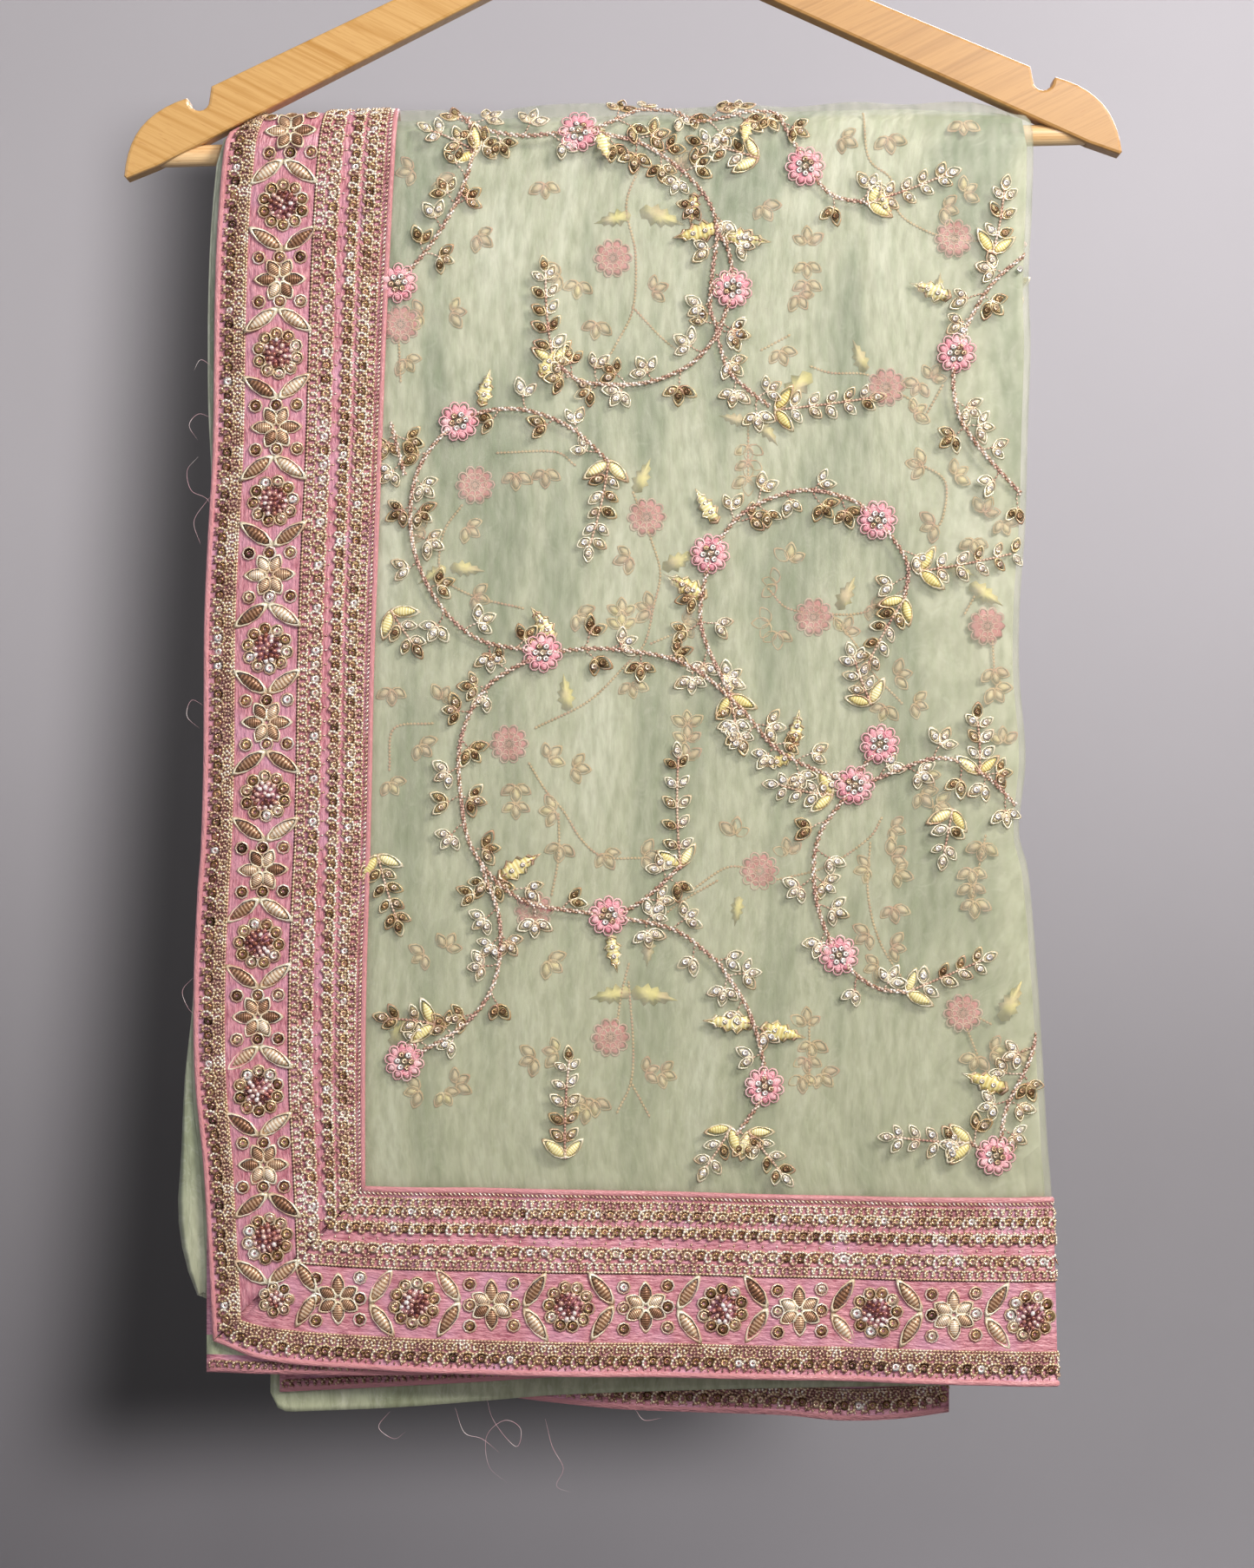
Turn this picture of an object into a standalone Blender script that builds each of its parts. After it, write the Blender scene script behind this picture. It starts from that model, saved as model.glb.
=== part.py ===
"""Embroidered organza saree, folded lengthwise into a bundle and hung over the round bar of a flat
wooden hanger. The saree is 1.13 m wide, so that each side of the bar carries half of its width.

Frame: +X to the viewer's right, +Y away from the viewer, +Z up. The origin is the top of the inside of
the hook, where a rail holds the hanger. All sizes are millimetres until a mesh is made.
"""

import math
from bisect import bisect_right
from collections import namedtuple

import bmesh
import bpy
from mathutils import Vector

MM = 0.001
CLEARANCE = 0.3

# Hanger, in its own upright frame
LEAN_DEG = 1.4
BAR_Z = -177.0
BAR_RADIUS = 4.75
BAR_HALF_LENGTH = 206.0
ARM_THICKNESS = 13.0
ARM_EDGE_ROUND = 1.4
ARM_TOP_Z = -65.7
ARM_TOP_SLOPE = 0.447
ARM_FOOT_Z = -82.3
ARM_FOOT_SLOPE = 0.482
APEX_FLAT_Z = -69.0
CENTRE_FILLET = 30.0
NOTCH_X = 187.7
NOTCH_RADIUS = 4.4
NOTCH_DEPTH = 8.2
NOTCH_SHOULDER = 1.1
BEAK_CROWN = (206.5, -155.8)
BEAK_MIDDLE = (214.0, -164.5)
BEAK_FRONT = (220.6, -172.5)
TIP_X = 222.0
TIP_Z = -187.3
TIP_BEVEL = 1.2
FOOT_END_X = 207.0
HOOK_WIRE_RADIUS = 1.75
HOOK_INNER_RADIUS = 19.0
HOOK_START_DEG = -62.0
HOOK_END_DEG = 196.0
SHANK_END_Z = -82.0
SHANK_STRAIGHT_TO = 16.0
SHANK_BEND = ((0.9, 9.0), (4.6, 2.6))
SHANK_BORE_ABOVE = 10.0
ROUND_SIDES = 24
SMOOTH_DEG = 40.0

# Cloth
WALL = 1.2
FOLD_RADIUS = 1.5
TURNED_IN = 12.0
ARC_RADIUS = 17.0
RIDGE = -ARC_RADIUS * math.pi / 2
UNDER_SHEET = WALL + CLEARANCE
UNDER_STRIP = 2 * FOLD_RADIUS + 0.75
LAYERS_START = 457.0
LAYERS_ROOM_OPENS = (430.0, 455.0)
MID_GAP = 0.8
MID_GAP_AT_HEMS = 2.7
BAR_ROOM_CLOSES = (3.0, 26.0)
EDGE_ROUND = 3.0
EDGE_ROUND_WIDTH = 18.0
EDGE_ROUND_OPENS = (-10.0, 30.0)
DROOP_FADES = (-20.0, -4.0)
RIDGE_FADES = (-8.0, 60.0)
SWAY = 1.3
SWAY_WAVE = 260.0
SWAY_OPENS = (20.0, 140.0)

# Stations down the drop, measured from the middle of the bar, negative on the arc over it
ARC_STATIONS = (RIDGE, -20.5, -14.0, -7.0, 0.0)
DROP_STATIONS = (16, 34, 58, 86, 116, 146, 176, 206, 236, 264, 290, 312, 334, 360, 386, 412, 436, 457)
STACK_STATIONS = (16, 34, 58, 86, 116, 176, 236, 264, 290, 312, 334, 386, 412, 436, 457, 478)
FRONT_COLUMNS = 15
BACK_COLUMNS = 12
HEM_COLUMNS = 16
FOLD_ROUNDING = 16.0
FOLD_STEPS = 3
FOLD_ANGLES = (45, 90, 135, 180)

# Edges of the front and back sheets: the free edge, the seam of the side border, the right fold
EdgeRow = namedtuple("EdgeRow", "drop left seam right")
FRONT_EDGES = (
    EdgeRow(RIDGE, -166.0, -95.0, 176.0),
    EdgeRow(-12, -169.5, -95.2, 183.0),
    EdgeRow(0, -172.0, -95.8, 186.0),
    EdgeRow(30, -175.0, -97.6, 186.1),
    EdgeRow(65, -176.5, -99.4, 184.6),
    EdgeRow(95, -177.0, -100.7, 185.4),
    EdgeRow(132, -177.6, -102.0, 184.2),
    EdgeRow(175, -180.0, -103.6, 183.1),
    EdgeRow(208, -181.4, -104.8, 180.7),
    EdgeRow(240, -181.6, -105.8, 180.4),
    EdgeRow(278, -181.9, -106.5, 183.2),
    EdgeRow(311, -183.0, -107.2, 180.2),
    EdgeRow(326, -184.2, -107.6, 184.0),
    EdgeRow(366, -185.9, -108.8, 187.7),
    EdgeRow(410, -185.4, -109.4, 190.5),
    EdgeRow(448, -181.6, -109.4, 192.6),
    EdgeRow(480, -179.6, -109.0, 195.0),
    EdgeRow(527, -177.0, -108.5, 196.3),
    EdgeRow(556, -176.0, -108.0, 196.9),
)
BACK_EDGES = (
    EdgeRow(RIDGE, -166.0, -95.0, 176.0),
    EdgeRow(-12, -169.5, -95.2, 183.0),
    EdgeRow(0, -172.0, -95.8, 186.0),
    EdgeRow(60, -175.0, -98.0, 184.5),
    EdgeRow(150, -173.0, -96.5, 181.0),
    EdgeRow(240, -176.5, -99.8, 179.0),
    EdgeRow(311, -172.5, -96.4, 177.0),
    EdgeRow(400, -175.5, -99.0, 183.5),
    EdgeRow(480, -171.0, -95.8, 187.0),
    EdgeRow(545, -169.0, -94.5, 188.5),
)

# Hem border of each sheet: its seam to the field and its lower edge, from the side border to the fold
HemRow = namedtuple("HemRow", "x seam edge")
FRONT_HEM = (
    HemRow(-177.0, 452.0, 527.0),
    HemRow(-153.0, 455.5, 535.6),
    HemRow(-109.0, 459.7, 540.5),
    HemRow(-56.0, 461.6, 544.0),
    HemRow(36.0, 466.0, 548.0),
    HemRow(105.0, 469.4, 551.1),
    HemRow(197.0, 472.4, 556.0),
)
BACK_HEM = (
    HemRow(-170.0, 455.0, 531.0),
    HemRow(-95.0, 458.0, 537.0),
    HemRow(0.0, 460.0, 541.0),
    HemRow(95.0, 463.5, 543.0),
    HemRow(188.0, 466.0, 547.0),
)

# Half thickness of the bundle under its outer sheet's folds, from its middle plane
HalfRow = namedtuple("HalfRow", "drop front back")
HALVES = (
    HalfRow(RIDGE, 14.8, 14.8),
    HalfRow(0, 14.8, 14.8),
    HalfRow(40, 14.2, 14.0),
    HalfRow(90, 13.0, 12.8),
    HalfRow(180, 12.6, 12.4),
    HalfRow(300, 12.9, 12.6),
    HalfRow(420, 14.6, 14.0),
    HalfRow(500, 16.4, 15.6),
    HalfRow(560, 17.4, 16.4),
)

# How far the bundle is pressed down under the arms at the ends of its ridge
DroopRow = namedtuple("DroopRow", "x droop")
RIDGE_DROOP = (
    DroopRow(-172, 5.0),
    DroopRow(-166, 3.6),
    DroopRow(-158, 1.2),
    DroopRow(-148, 0.0),
    DroopRow(158, 0.0),
    DroopRow(168, 1.4),
    DroopRow(176, 4.2),
    DroopRow(183, 6.2),
)

# The soft scallops that the outer sheet makes along the ridge
RidgeRow = namedtuple("RidgeRow", "x rise")
RIDGE_RISE = (
    RidgeRow(-166, 0.4),
    RidgeRow(-155, 2.2),
    RidgeRow(-95, 3.0),
    RidgeRow(-72, 2.5),
    RidgeRow(-58, 0.4),
    RidgeRow(-44, 2.6),
    RidgeRow(-26, 4.0),
    RidgeRow(-2, 3.8),
    RidgeRow(26, 0.9),
    RidgeRow(58, 1.8),
    RidgeRow(79, 0.3),
    RidgeRow(107, 2.0),
    RidgeRow(130, 0.4),
    RidgeRow(150, 1.2),
    RidgeRow(168, 0.3),
    RidgeRow(176, 0.0),
)

# The soft folds that run down each outer sheet
FoldRow = namedtuple("FoldRow", "top hem width rise")
FRONT_FOLDS = (
    FoldRow(-138, -146, 30, 0.9),
    FoldRow(-72, -84, 16, 1.4),
    FoldRow(-36, -30, 22, 2.3),
    FoldRow(8, -2, 15, 1.2),
    FoldRow(46, 54, 20, 2.1),
    FoldRow(86, 76, 14, 1.4),
    FoldRow(120, 130, 18, 2.2),
    FoldRow(158, 152, 13, 1.3),
)
BACK_FOLDS = (
    FoldRow(-134, -128, 28, 0.9),
    FoldRow(-66, -58, 20, 2.0),
    FoldRow(-22, -30, 15, 1.3),
    FoldRow(20, 26, 24, 2.2),
    FoldRow(68, 60, 16, 1.5),
    FoldRow(108, 116, 20, 2.1),
    FoldRow(152, 146, 14, 1.2),
)

# Across a border from its outer edge: rolled edge, stitched band, satin panel, stitched bands, piping
ReliefRow = namedtuple("ReliefRow", "share rise")
BORDER_RELIEF = (
    ReliefRow(0.000, 0.8),
    ReliefRow(0.035, 0.4),
    ReliefRow(0.220, 0.5),
    ReliefRow(0.245, 0.0),
    ReliefRow(0.560, 0.0),
    ReliefRow(0.585, 0.5),
    ReliefRow(0.960, 0.4),
    ReliefRow(1.000, 0.9),
)

# The layered rim of the folded layers, from the outer side in: how far each layer's fold stands out
# at the free edge, at the right fold and at the hems. Depth is a share of the bundle's depth.
RimRow = namedtuple("RimRow", "depth left right hem")
LAYER_RIM = (
    RimRow(0.05, 4.6, 12.0, 5.0),
    RimRow(0.20, 5.0, 12.5, 6.0),
    RimRow(0.26, 2.5, 9.5, 1.0),
    RimRow(0.32, 3.6, 11.6, 8.5),
    RimRow(0.48, 4.0, 12.0, 9.5),
    RimRow(0.54, 1.8, 8.6, 2.0),
    RimRow(0.60, 4.8, 12.4, 7.0),
    RimRow(0.76, 4.4, 11.8, 8.0),
    RimRow(0.82, 2.0, 9.0, 1.5),
    RimRow(0.88, 3.4, 11.0, 5.0),
    RimRow(1.00, 1.2, 8.2, 2.0),
)
STACK_LEFT_INSET = 3.0
STACK_RIGHT_INSET = 16.0
STACK_HEM_INSET = 18.0
STACK_CORNER = 14.0
STACK_COLUMNS = 10
CORNER_SIDEWAYS = 0.7
CORNER_DOWN = 0.3

# How far the layers show past the front's free edge, and the loop of organza that stands out low down
PeekRow = namedtuple("PeekRow", "drop share loop")
FRONT_PEEK = (
    PeekRow(RIDGE, 0.6, 0.0),
    PeekRow(0, 1.0, 0.0),
    PeekRow(110, 1.0, 0.0),
    PeekRow(160, 0.35, 0.0),
    PeekRow(370, 0.5, 0.0),
    PeekRow(417, 1.0, 3.0),
    PeekRow(445, 1.0, 7.4),
    PeekRow(470, 1.0, 10.6),
    PeekRow(492, 1.0, 8.6),
    PeekRow(508, 1.0, 3.6),
    PeekRow(520, 1.0, 0.0),
)
LOOP_DEPTH = 0.22
LOOP_SPREAD = 0.14

# Layers that hang below the folded ones: lower edges from their left end to their right end
LayerRow = namedtuple("LayerRow", "x edge")
HEM_LAYER_2 = (
    LayerRow(-180.0, 541.0),
    LayerRow(-93.0, 543.8),
    LayerRow(-33.0, 543.0),
    LayerRow(90.0, 546.0),
    LayerRow(176.0, 549.0),
)
HEM_LAYER_3 = (
    LayerRow(-148.5, 552.2),
    LayerRow(-71.0, 549.9),
    LayerRow(-35.0, 548.6),
    LayerRow(30.0, 545.5),
    LayerRow(146.0, 547.0),
)
ORGANZA_LAYER_4 = (
    LayerRow(-152.8, 561.5),
    LayerRow(-98.0, 560.4),
    LayerRow(-56.0, 558.2),
    LayerRow(-25.0, 556.6),
    LayerRow(36.0, 556.2),
    LayerRow(150.0, 556.6),
)
HEM_LAYER_5 = (
    LayerRow(-146.0, 552.0),
    LayerRow(-60.0, 555.5),
    LayerRow(-27.0, 560.1),
    LayerRow(2.0, 563.9),
    LayerRow(36.0, 566.3),
    LayerRow(77.0, 568.8),
    LayerRow(101.0, 571.6),
    LayerRow(127.0, 571.4),
    LayerRow(150.0, 568.8),
)
LAYER_3_Y = -2.25
LAYER_4_Y = -0.6
LAYER_5_Y = 1.05
LAYER_CORNER = 9.0
LAYER_COLUMNS = 14
LAYER_ROWS = 4

# Materials: name, linear colour, roughness, metallic
Finish = namedtuple("Finish", "name colour roughness metallic")
ORGANZA = Finish("sage_organza", (0.48, 0.57, 0.38, 1.0), 0.55, 0.0)
ZARI_BORDER = Finish("rose_zari_border", (0.60, 0.25, 0.30, 1.0), 0.45, 0.2)
VARNISHED_WOOD = Finish("varnished_wood", (0.68, 0.38, 0.12, 1.0), 0.35, 0.0)
PLATED_STEEL = Finish("plated_steel", (0.62, 0.62, 0.62, 1.0), 0.25, 1.0)


def ease(start, end, at):
    """0 before start, 1 after end, and a smooth step between."""
    share = min(max((at - start) / (end - start), 0.0), 1.0)
    return share * share * (3.0 - 2.0 * share)


def read(rows, column, at):
    """One column of a table at a place along its first column, on a smooth curve through the rows."""
    places = [row[0] for row in rows]
    values = [getattr(row, column) for row in rows]
    if at <= places[0]:
        return values[0]
    if at >= places[-1]:
        return values[-1]
    low = bisect_right(places, at) - 1
    span = places[low + 1] - places[low]
    share = (at - places[low]) / span

    def slope(i):
        before = max(i - 1, 0)
        after = min(i + 1, len(rows) - 1)
        return (values[after] - values[before]) / (places[after] - places[before])

    cube = share ** 3
    square = share ** 2
    return (
        (2 * cube - 3 * square + 1) * values[low]
        + (cube - 2 * square + share) * span * slope(low)
        + (3 * square - 2 * cube) * values[low + 1]
        + (cube - square) * span * slope(low + 1)
    )


def bar_z(x):
    """Height of the bar's axis in the world, which leans with the hanger."""
    return BAR_Z + x * math.tan(math.radians(LEAN_DEG))


class Drop:
    """One side of the hung bundle, front or back, in the coordinates x, depth and drop."""

    def __init__(self, way, half, edges, hem, folds):
        self.way = way
        self.half = half
        self.edges = edges
        self.hem = hem
        self.folds = folds

    def left(self, drop):
        return read(self.edges, "left", drop)

    def seam(self, drop):
        return read(self.edges, "seam", drop)

    def right(self, drop):
        return read(self.edges, "right", drop)

    def hem_seam(self, x):
        return read(self.hem, "seam", x)

    def hem_edge(self, x):
        return read(self.hem, "edge", x)

    def height(self, x, drop):
        """From the middle plane, or the bar's axis, out to the plain surface of the bundle."""
        plain = read(HALVES, self.half, drop)
        pressed = read(RIDGE_DROOP, "droop", x) * (1.0 - ease(*DROOP_FADES, drop))
        near_left = 1.0 - ease(0.0, EDGE_ROUND_WIDTH, x - self.left(drop))
        near_right = 1.0 - ease(0.0, EDGE_ROUND_WIDTH, self.right(drop) - x)
        rounded = EDGE_ROUND * max(near_left, near_right) * ease(*EDGE_ROUND_OPENS, drop)
        return plain - pressed - rounded

    def lift(self, x, drop):
        """How far the outer sheet's own folds stand off the plain surface."""
        along = min(max(drop / self.hem_edge(x), 0.0), 1.0)
        total = 0.0
        for fold in self.folds:
            middle = fold.top + (fold.hem - fold.top) * along
            total += fold.rise * math.exp(-(((x - middle) / fold.width) ** 2))
        turned = ease(*RIDGE_FADES, drop)
        return read(RIDGE_RISE, "rise", x) * (1.0 - turned) + total * turned

    def place(self, x, depth, drop, lift=0.0):
        """The point at x, this deep under the surface and this far down from the bar."""
        out = self.height(x, drop) + lift - depth
        middle = bar_z(x)
        if drop < 0.0:
            angle = math.pi / 2 + drop / ARC_RADIUS
            return Vector((x, self.way * out * math.sin(angle), middle + out * math.cos(angle)))
        return Vector((x, self.way * out + sway(x, drop), middle - drop))

    def outward(self, drop):
        """The direction in which depth shrinks."""
        if drop < 0.0:
            angle = math.pi / 2 + drop / ARC_RADIUS
            return Vector((0.0, self.way * math.sin(angle), math.cos(angle)))
        return Vector((0.0, self.way, 0.0))


def sway(x, drop):
    """The slow wave that the whole bundle makes from front to back, below the bar."""
    return SWAY * math.sin(x / SWAY_WAVE * 2 * math.pi) * ease(*SWAY_OPENS, drop)


FRONT = Drop(-1.0, "front", FRONT_EDGES, FRONT_HEM, FRONT_FOLDS)
BACK = Drop(1.0, "back", BACK_EDGES, BACK_HEM, BACK_FOLDS)


def material(finish):
    """The finish as a Principled material, made once."""
    made = bpy.data.materials.get(finish.name)
    if made:
        return made
    made = bpy.data.materials.new(finish.name)
    made.use_nodes = True
    shader = made.node_tree.nodes["Principled BSDF"]
    shader.inputs["Base Color"].default_value = finish.colour
    shader.inputs["Roughness"].default_value = finish.roughness
    shader.inputs["Metallic"].default_value = finish.metallic
    return made


def keep(name, bm, finish, parent):
    """A named object from a closed mesh, with its faces turned outwards and its own material."""
    bmesh.ops.recalc_face_normals(bm, faces=bm.faces)
    bmesh.ops.scale(bm, vec=(MM, MM, MM), verts=bm.verts)
    mesh = bpy.data.meshes.new(name)
    bm.to_mesh(mesh)
    bm.free()
    mesh.shade_smooth()
    mesh.set_sharp_from_angle(angle=math.radians(SMOOTH_DEG))
    piece = bpy.data.objects.new(name, mesh)
    piece.data.materials.append(material(finish))
    piece.parent = parent
    bpy.context.scene.collection.objects.link(piece)
    return piece


def outline_of(rows, columns):
    """Grid places round the edge of a grid, once round and in order."""
    top = [(0, j) for j in range(columns - 1)]
    right = [(i, columns - 1) for i in range(rows - 1)]
    bottom = [(rows - 1, j) for j in range(columns - 1, 0, -1)]
    left = [(i, 0) for i in range(rows - 1, 0, -1)]
    return top + right + bottom + left


def closed_wall(outer, rings, inner):
    """A closed body: an outer grid, rings of points round its rim, and an inner grid."""
    bm = bmesh.new()
    grids = [[[bm.verts.new(p) for p in row] for row in grid] for grid in (outer, inner)]
    for grid in grids:
        for upper, lower in zip(grid, grid[1:]):
            for j in range(len(upper) - 1):
                bm.faces.new((upper[j], upper[j + 1], lower[j + 1], lower[j]))
    rim = outline_of(len(outer), len(outer[0]))
    loops = [[grids[0][i][j] for i, j in rim]]
    loops += [[bm.verts.new(p) for p in ring] for ring in rings]
    loops += [[grids[1][i][j] for i, j in rim]]
    for first, second in zip(loops, loops[1:]):
        for k in range(len(rim)):
            after = (k + 1) % len(rim)
            bm.faces.new((first[k], first[after], second[after], second[k]))
    return bm


def spread(start, end, count):
    """count + 1 even steps from start to end."""
    return [start + (end - start) * i / count for i in range(count + 1)]


def face_places(start, bend, count):
    """x places across a sheet's face, closer together where it rounds towards its fold."""
    near = bend - FOLD_ROUNDING
    return spread(start, near, count) + spread(near, bend, FOLD_STEPS)[1:]


def sheet_line(side, start, count, drop_at, raised=0.0):
    """Outer and inner points across a sheet, along a line whose drop may change with x.

    The line runs from its start across the face, round the right fold and back behind the face.
    """
    edge = side.right(drop_at(start))
    bend = side.right(drop_at(edge)) - FOLD_RADIUS
    outer = []
    inner = []
    for x in face_places(start, bend, count):
        drop = drop_at(x)
        lift = side.lift(x, drop)
        outer.append(side.place(x, -raised, drop, lift))
        inner.append(side.place(x, WALL, drop, lift))
    drop = drop_at(bend)
    lift = side.lift(bend, drop)
    centre = side.place(bend, FOLD_RADIUS, drop, lift)
    across = Vector((1.0, 0.0, 0.0))
    for angle in (math.radians(a) for a in FOLD_ANGLES):
        way = side.outward(drop) * math.cos(angle) + across * math.sin(angle)
        grown = raised * max(math.cos(angle), 0.0)
        outer.append(centre + way * (FOLD_RADIUS + grown))
        inner.append(centre + way * (FOLD_RADIUS - WALL))
    for x in (bend - TURNED_IN / 2, bend - TURNED_IN):
        moved = side.place(x, 0.0, drop, lift) - side.place(bend, 0.0, drop, lift)
        outer.append(centre - side.outward(drop) * FOLD_RADIUS + moved)
        inner.append(centre - side.outward(drop) * (FOLD_RADIUS - WALL) + moved)
    return outer, inner


def sheet_stations():
    """The drops of a sheet's rows, from the seam on the ridge to just above the hem border."""
    return [RIDGE + CLEARANCE / 2, *ARC_STATIONS[1:], *DROP_STATIONS[:-1]]


def field(name, side, columns, parent):
    """The organza between the side border, the hem border and the right fold."""
    lines = [lambda x, drop=drop: drop for drop in sheet_stations()]
    lines.append(lambda x: side.hem_seam(x) - CLEARANCE / 2)
    outer = []
    inner = []
    for drop_at in lines:
        start = side.seam(drop_at(side.seam(0.0))) + CLEARANCE / 2
        points = sheet_line(side, start, columns, drop_at)
        outer.append(points[0])
        inner.append(points[1])
    return keep(name, closed_wall(outer, [], inner), ORGANZA, parent)


def mitre(side, share):
    """A place on the corner's mitre: share 0 at the outer corner and 1 at the inner one."""
    outer_x = side.hem[0].x
    inner_drop = side.hem_seam(side.seam(LAYERS_START))
    inner_x = side.seam(inner_drop)
    outer_drop = side.hem_edge(outer_x)
    x = outer_x + (inner_x - outer_x) * share
    return x, outer_drop + (inner_drop - outer_drop) * share


def side_border(name, side, parent):
    """The border along the free edge, from the ridge to the mitre at the hem."""
    outer = []
    inner = []
    for drop in [*sheet_stations(), None]:
        outer.append([])
        inner.append([])
        for row in BORDER_RELIEF:
            if drop is None:
                x, low = mitre(side, row.share)
                low -= CLEARANCE / 2
            else:
                low = drop
                width = side.seam(low) - CLEARANCE / 2 - side.left(low)
                x = side.left(low) + width * row.share
            lift = side.lift(x, low)
            outer[-1].append(side.place(x, -row.rise, low, lift))
            inner[-1].append(side.place(x, WALL, low, lift))
    return keep(name, closed_wall(outer, [], inner), ZARI_BORDER, parent)


def hem_border(name, side, parent):
    """The border along the hem, from the mitre round the right fold."""
    outer = []
    inner = []
    for row in reversed(BORDER_RELIEF):
        start, _ = mitre(side, row.share)

        def drop_at(x, share=row.share):
            seam = side.hem_seam(x) + CLEARANCE / 2
            return side.hem_edge(x) + (seam - side.hem_edge(x)) * share

        points = sheet_line(side, start + CLEARANCE, HEM_COLUMNS, drop_at, row.rise)
        outer.append(points[0])
        inner.append(points[1])
    return keep(name, closed_wall(outer, [], inner), ZARI_BORDER, parent)


def stack_bottom(side, x, left, right):
    """Where the folded layers end at x, with round corners."""
    inset = min(x - left, right - x)
    short = max(STACK_CORNER - inset, 0.0) / STACK_CORNER
    corner = STACK_CORNER * (1.0 - math.sqrt(max(1.0 - short * short, 0.0)))
    return side.hem_edge(x) - STACK_HEM_INSET - corner


def mid_gap(drop):
    """From the middle plane to the inner face of the folded layers, clear of the bar."""
    below = MID_GAP + (BAR_RADIUS + CLEARANCE - MID_GAP) * (1.0 - ease(*BAR_ROOM_CLOSES, drop))
    return below + (MID_GAP_AT_HEMS - MID_GAP) * ease(*LAYERS_ROOM_OPENS, drop)


def stack_row(side, drop):
    """Places across the folded layers at one drop, or along their hems where it is None."""
    level = side.hem_edge(0.0) - STACK_HEM_INSET if drop is None else drop
    left = side.left(level) + STACK_LEFT_INSET
    right = side.right(level) - STACK_RIGHT_INSET
    row = []
    for x in spread(left, right, STACK_COLUMNS):
        row.append((side, x, stack_bottom(side, x, left, right) if drop is None else drop))
    return row


def folded_layers(parent):
    """The layers inside the bundle as one rounded solid over the bar, layered at its edges."""
    down = [*ARC_STATIONS[1:], *STACK_STATIONS, None]
    places = [stack_row(FRONT, drop) for drop in reversed(down)]
    places.append(stack_row(FRONT, RIDGE))
    places += [stack_row(BACK, drop) for drop in down]
    outer = []
    inner = []
    for row in places:
        outer.append([s.place(x, UNDER_SHEET + second_layer_room(s, d), d) for s, x, d in row])
        inner.append([s.place(x, s.height(x, d) - mid_gap(d), d) for s, x, d in row])
    rim = outline_of(len(places), STACK_COLUMNS + 1)
    rings = [[strip_point(places[i][j]) for i, j in rim]]
    for layer in LAYER_RIM:
        rings.append([rim_point(places, i, j, layer) for i, j in rim])
    return keep("folded_layers", closed_wall(outer, rings, inner), ORGANZA, parent)


def second_layer_room(side, drop):
    """The room that the second hem layer takes at the front, low down."""
    if side is not FRONT:
        return 0.0
    return (WALL + CLEARANCE) * ease(*LAYERS_ROOM_OPENS, drop)


def strip_point(place):
    """A rim point level with the strip that the outer sheet turns in."""
    side, x, drop = place
    return side.place(x, UNDER_STRIP, drop)


def rim_point(places, i, j, layer):
    """A point of one layer's fold, moved out from the rim of the solid."""
    side, x, drop = places[i][j]
    last = len(places) - 1
    moved_x = 0.0
    moved_drop = 0.0
    if j == 0:
        moved_x = -layer.left
        if side is FRONT:
            peek = read(FRONT_PEEK, "share", drop)
            near_loop = max(1.0 - abs(layer.depth - LOOP_DEPTH) / LOOP_SPREAD, 0.0)
            moved_x = -layer.left * peek - read(FRONT_PEEK, "loop", drop) * near_loop
    if j == STACK_COLUMNS:
        moved_x = layer.right
    if i in (0, last):
        moved_drop = layer.hem
        if j in (0, STACK_COLUMNS):
            moved_x *= CORNER_SIDEWAYS
            moved_drop *= CORNER_DOWN
    x += moved_x
    drop += moved_drop
    inner = side.height(x, drop) - mid_gap(drop)
    return side.place(x, UNDER_STRIP + (inner - UNDER_STRIP) * layer.depth, drop)


def hanging_layer(name, rows, finish, parent, side=None, middle=0.0, corner=0.0):
    """A layer that shows below the folded ones: under the front sheet, or near the middle plane."""
    left = rows[0].x
    right = rows[-1].x
    outer = []
    inner = []
    for share in spread(0.0, 1.0, LAYER_ROWS):
        outer.append([])
        inner.append([])
        for x in spread(left, right, LAYER_COLUMNS):
            inset = max(corner - (x - left), 0.0) / max(corner, 1.0)
            rounded = corner * (1.0 - math.sqrt(1.0 - inset * inset))
            drop = LAYERS_START + (read(rows, "edge", x) - rounded - LAYERS_START) * share
            if side:
                outer[-1].append(side.place(x, UNDER_SHEET, drop))
                inner[-1].append(side.place(x, UNDER_SHEET + WALL, drop))
            else:
                near = middle + sway(x, drop)
                outer[-1].append(Vector((x, near, bar_z(x) - drop)))
                inner[-1].append(Vector((x, near + WALL, bar_z(x) - drop)))
    return keep(name, closed_wall(outer, [], inner), finish, parent)


def arc(centre, radius, start_deg, end_deg, count):
    """Points of an arc in the XZ plane, ends included."""
    angles = (math.radians(a) for a in spread(start_deg, end_deg, count))
    return [(centre[0] + radius * math.cos(a), centre[1] + radius * math.sin(a)) for a in angles]


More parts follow.
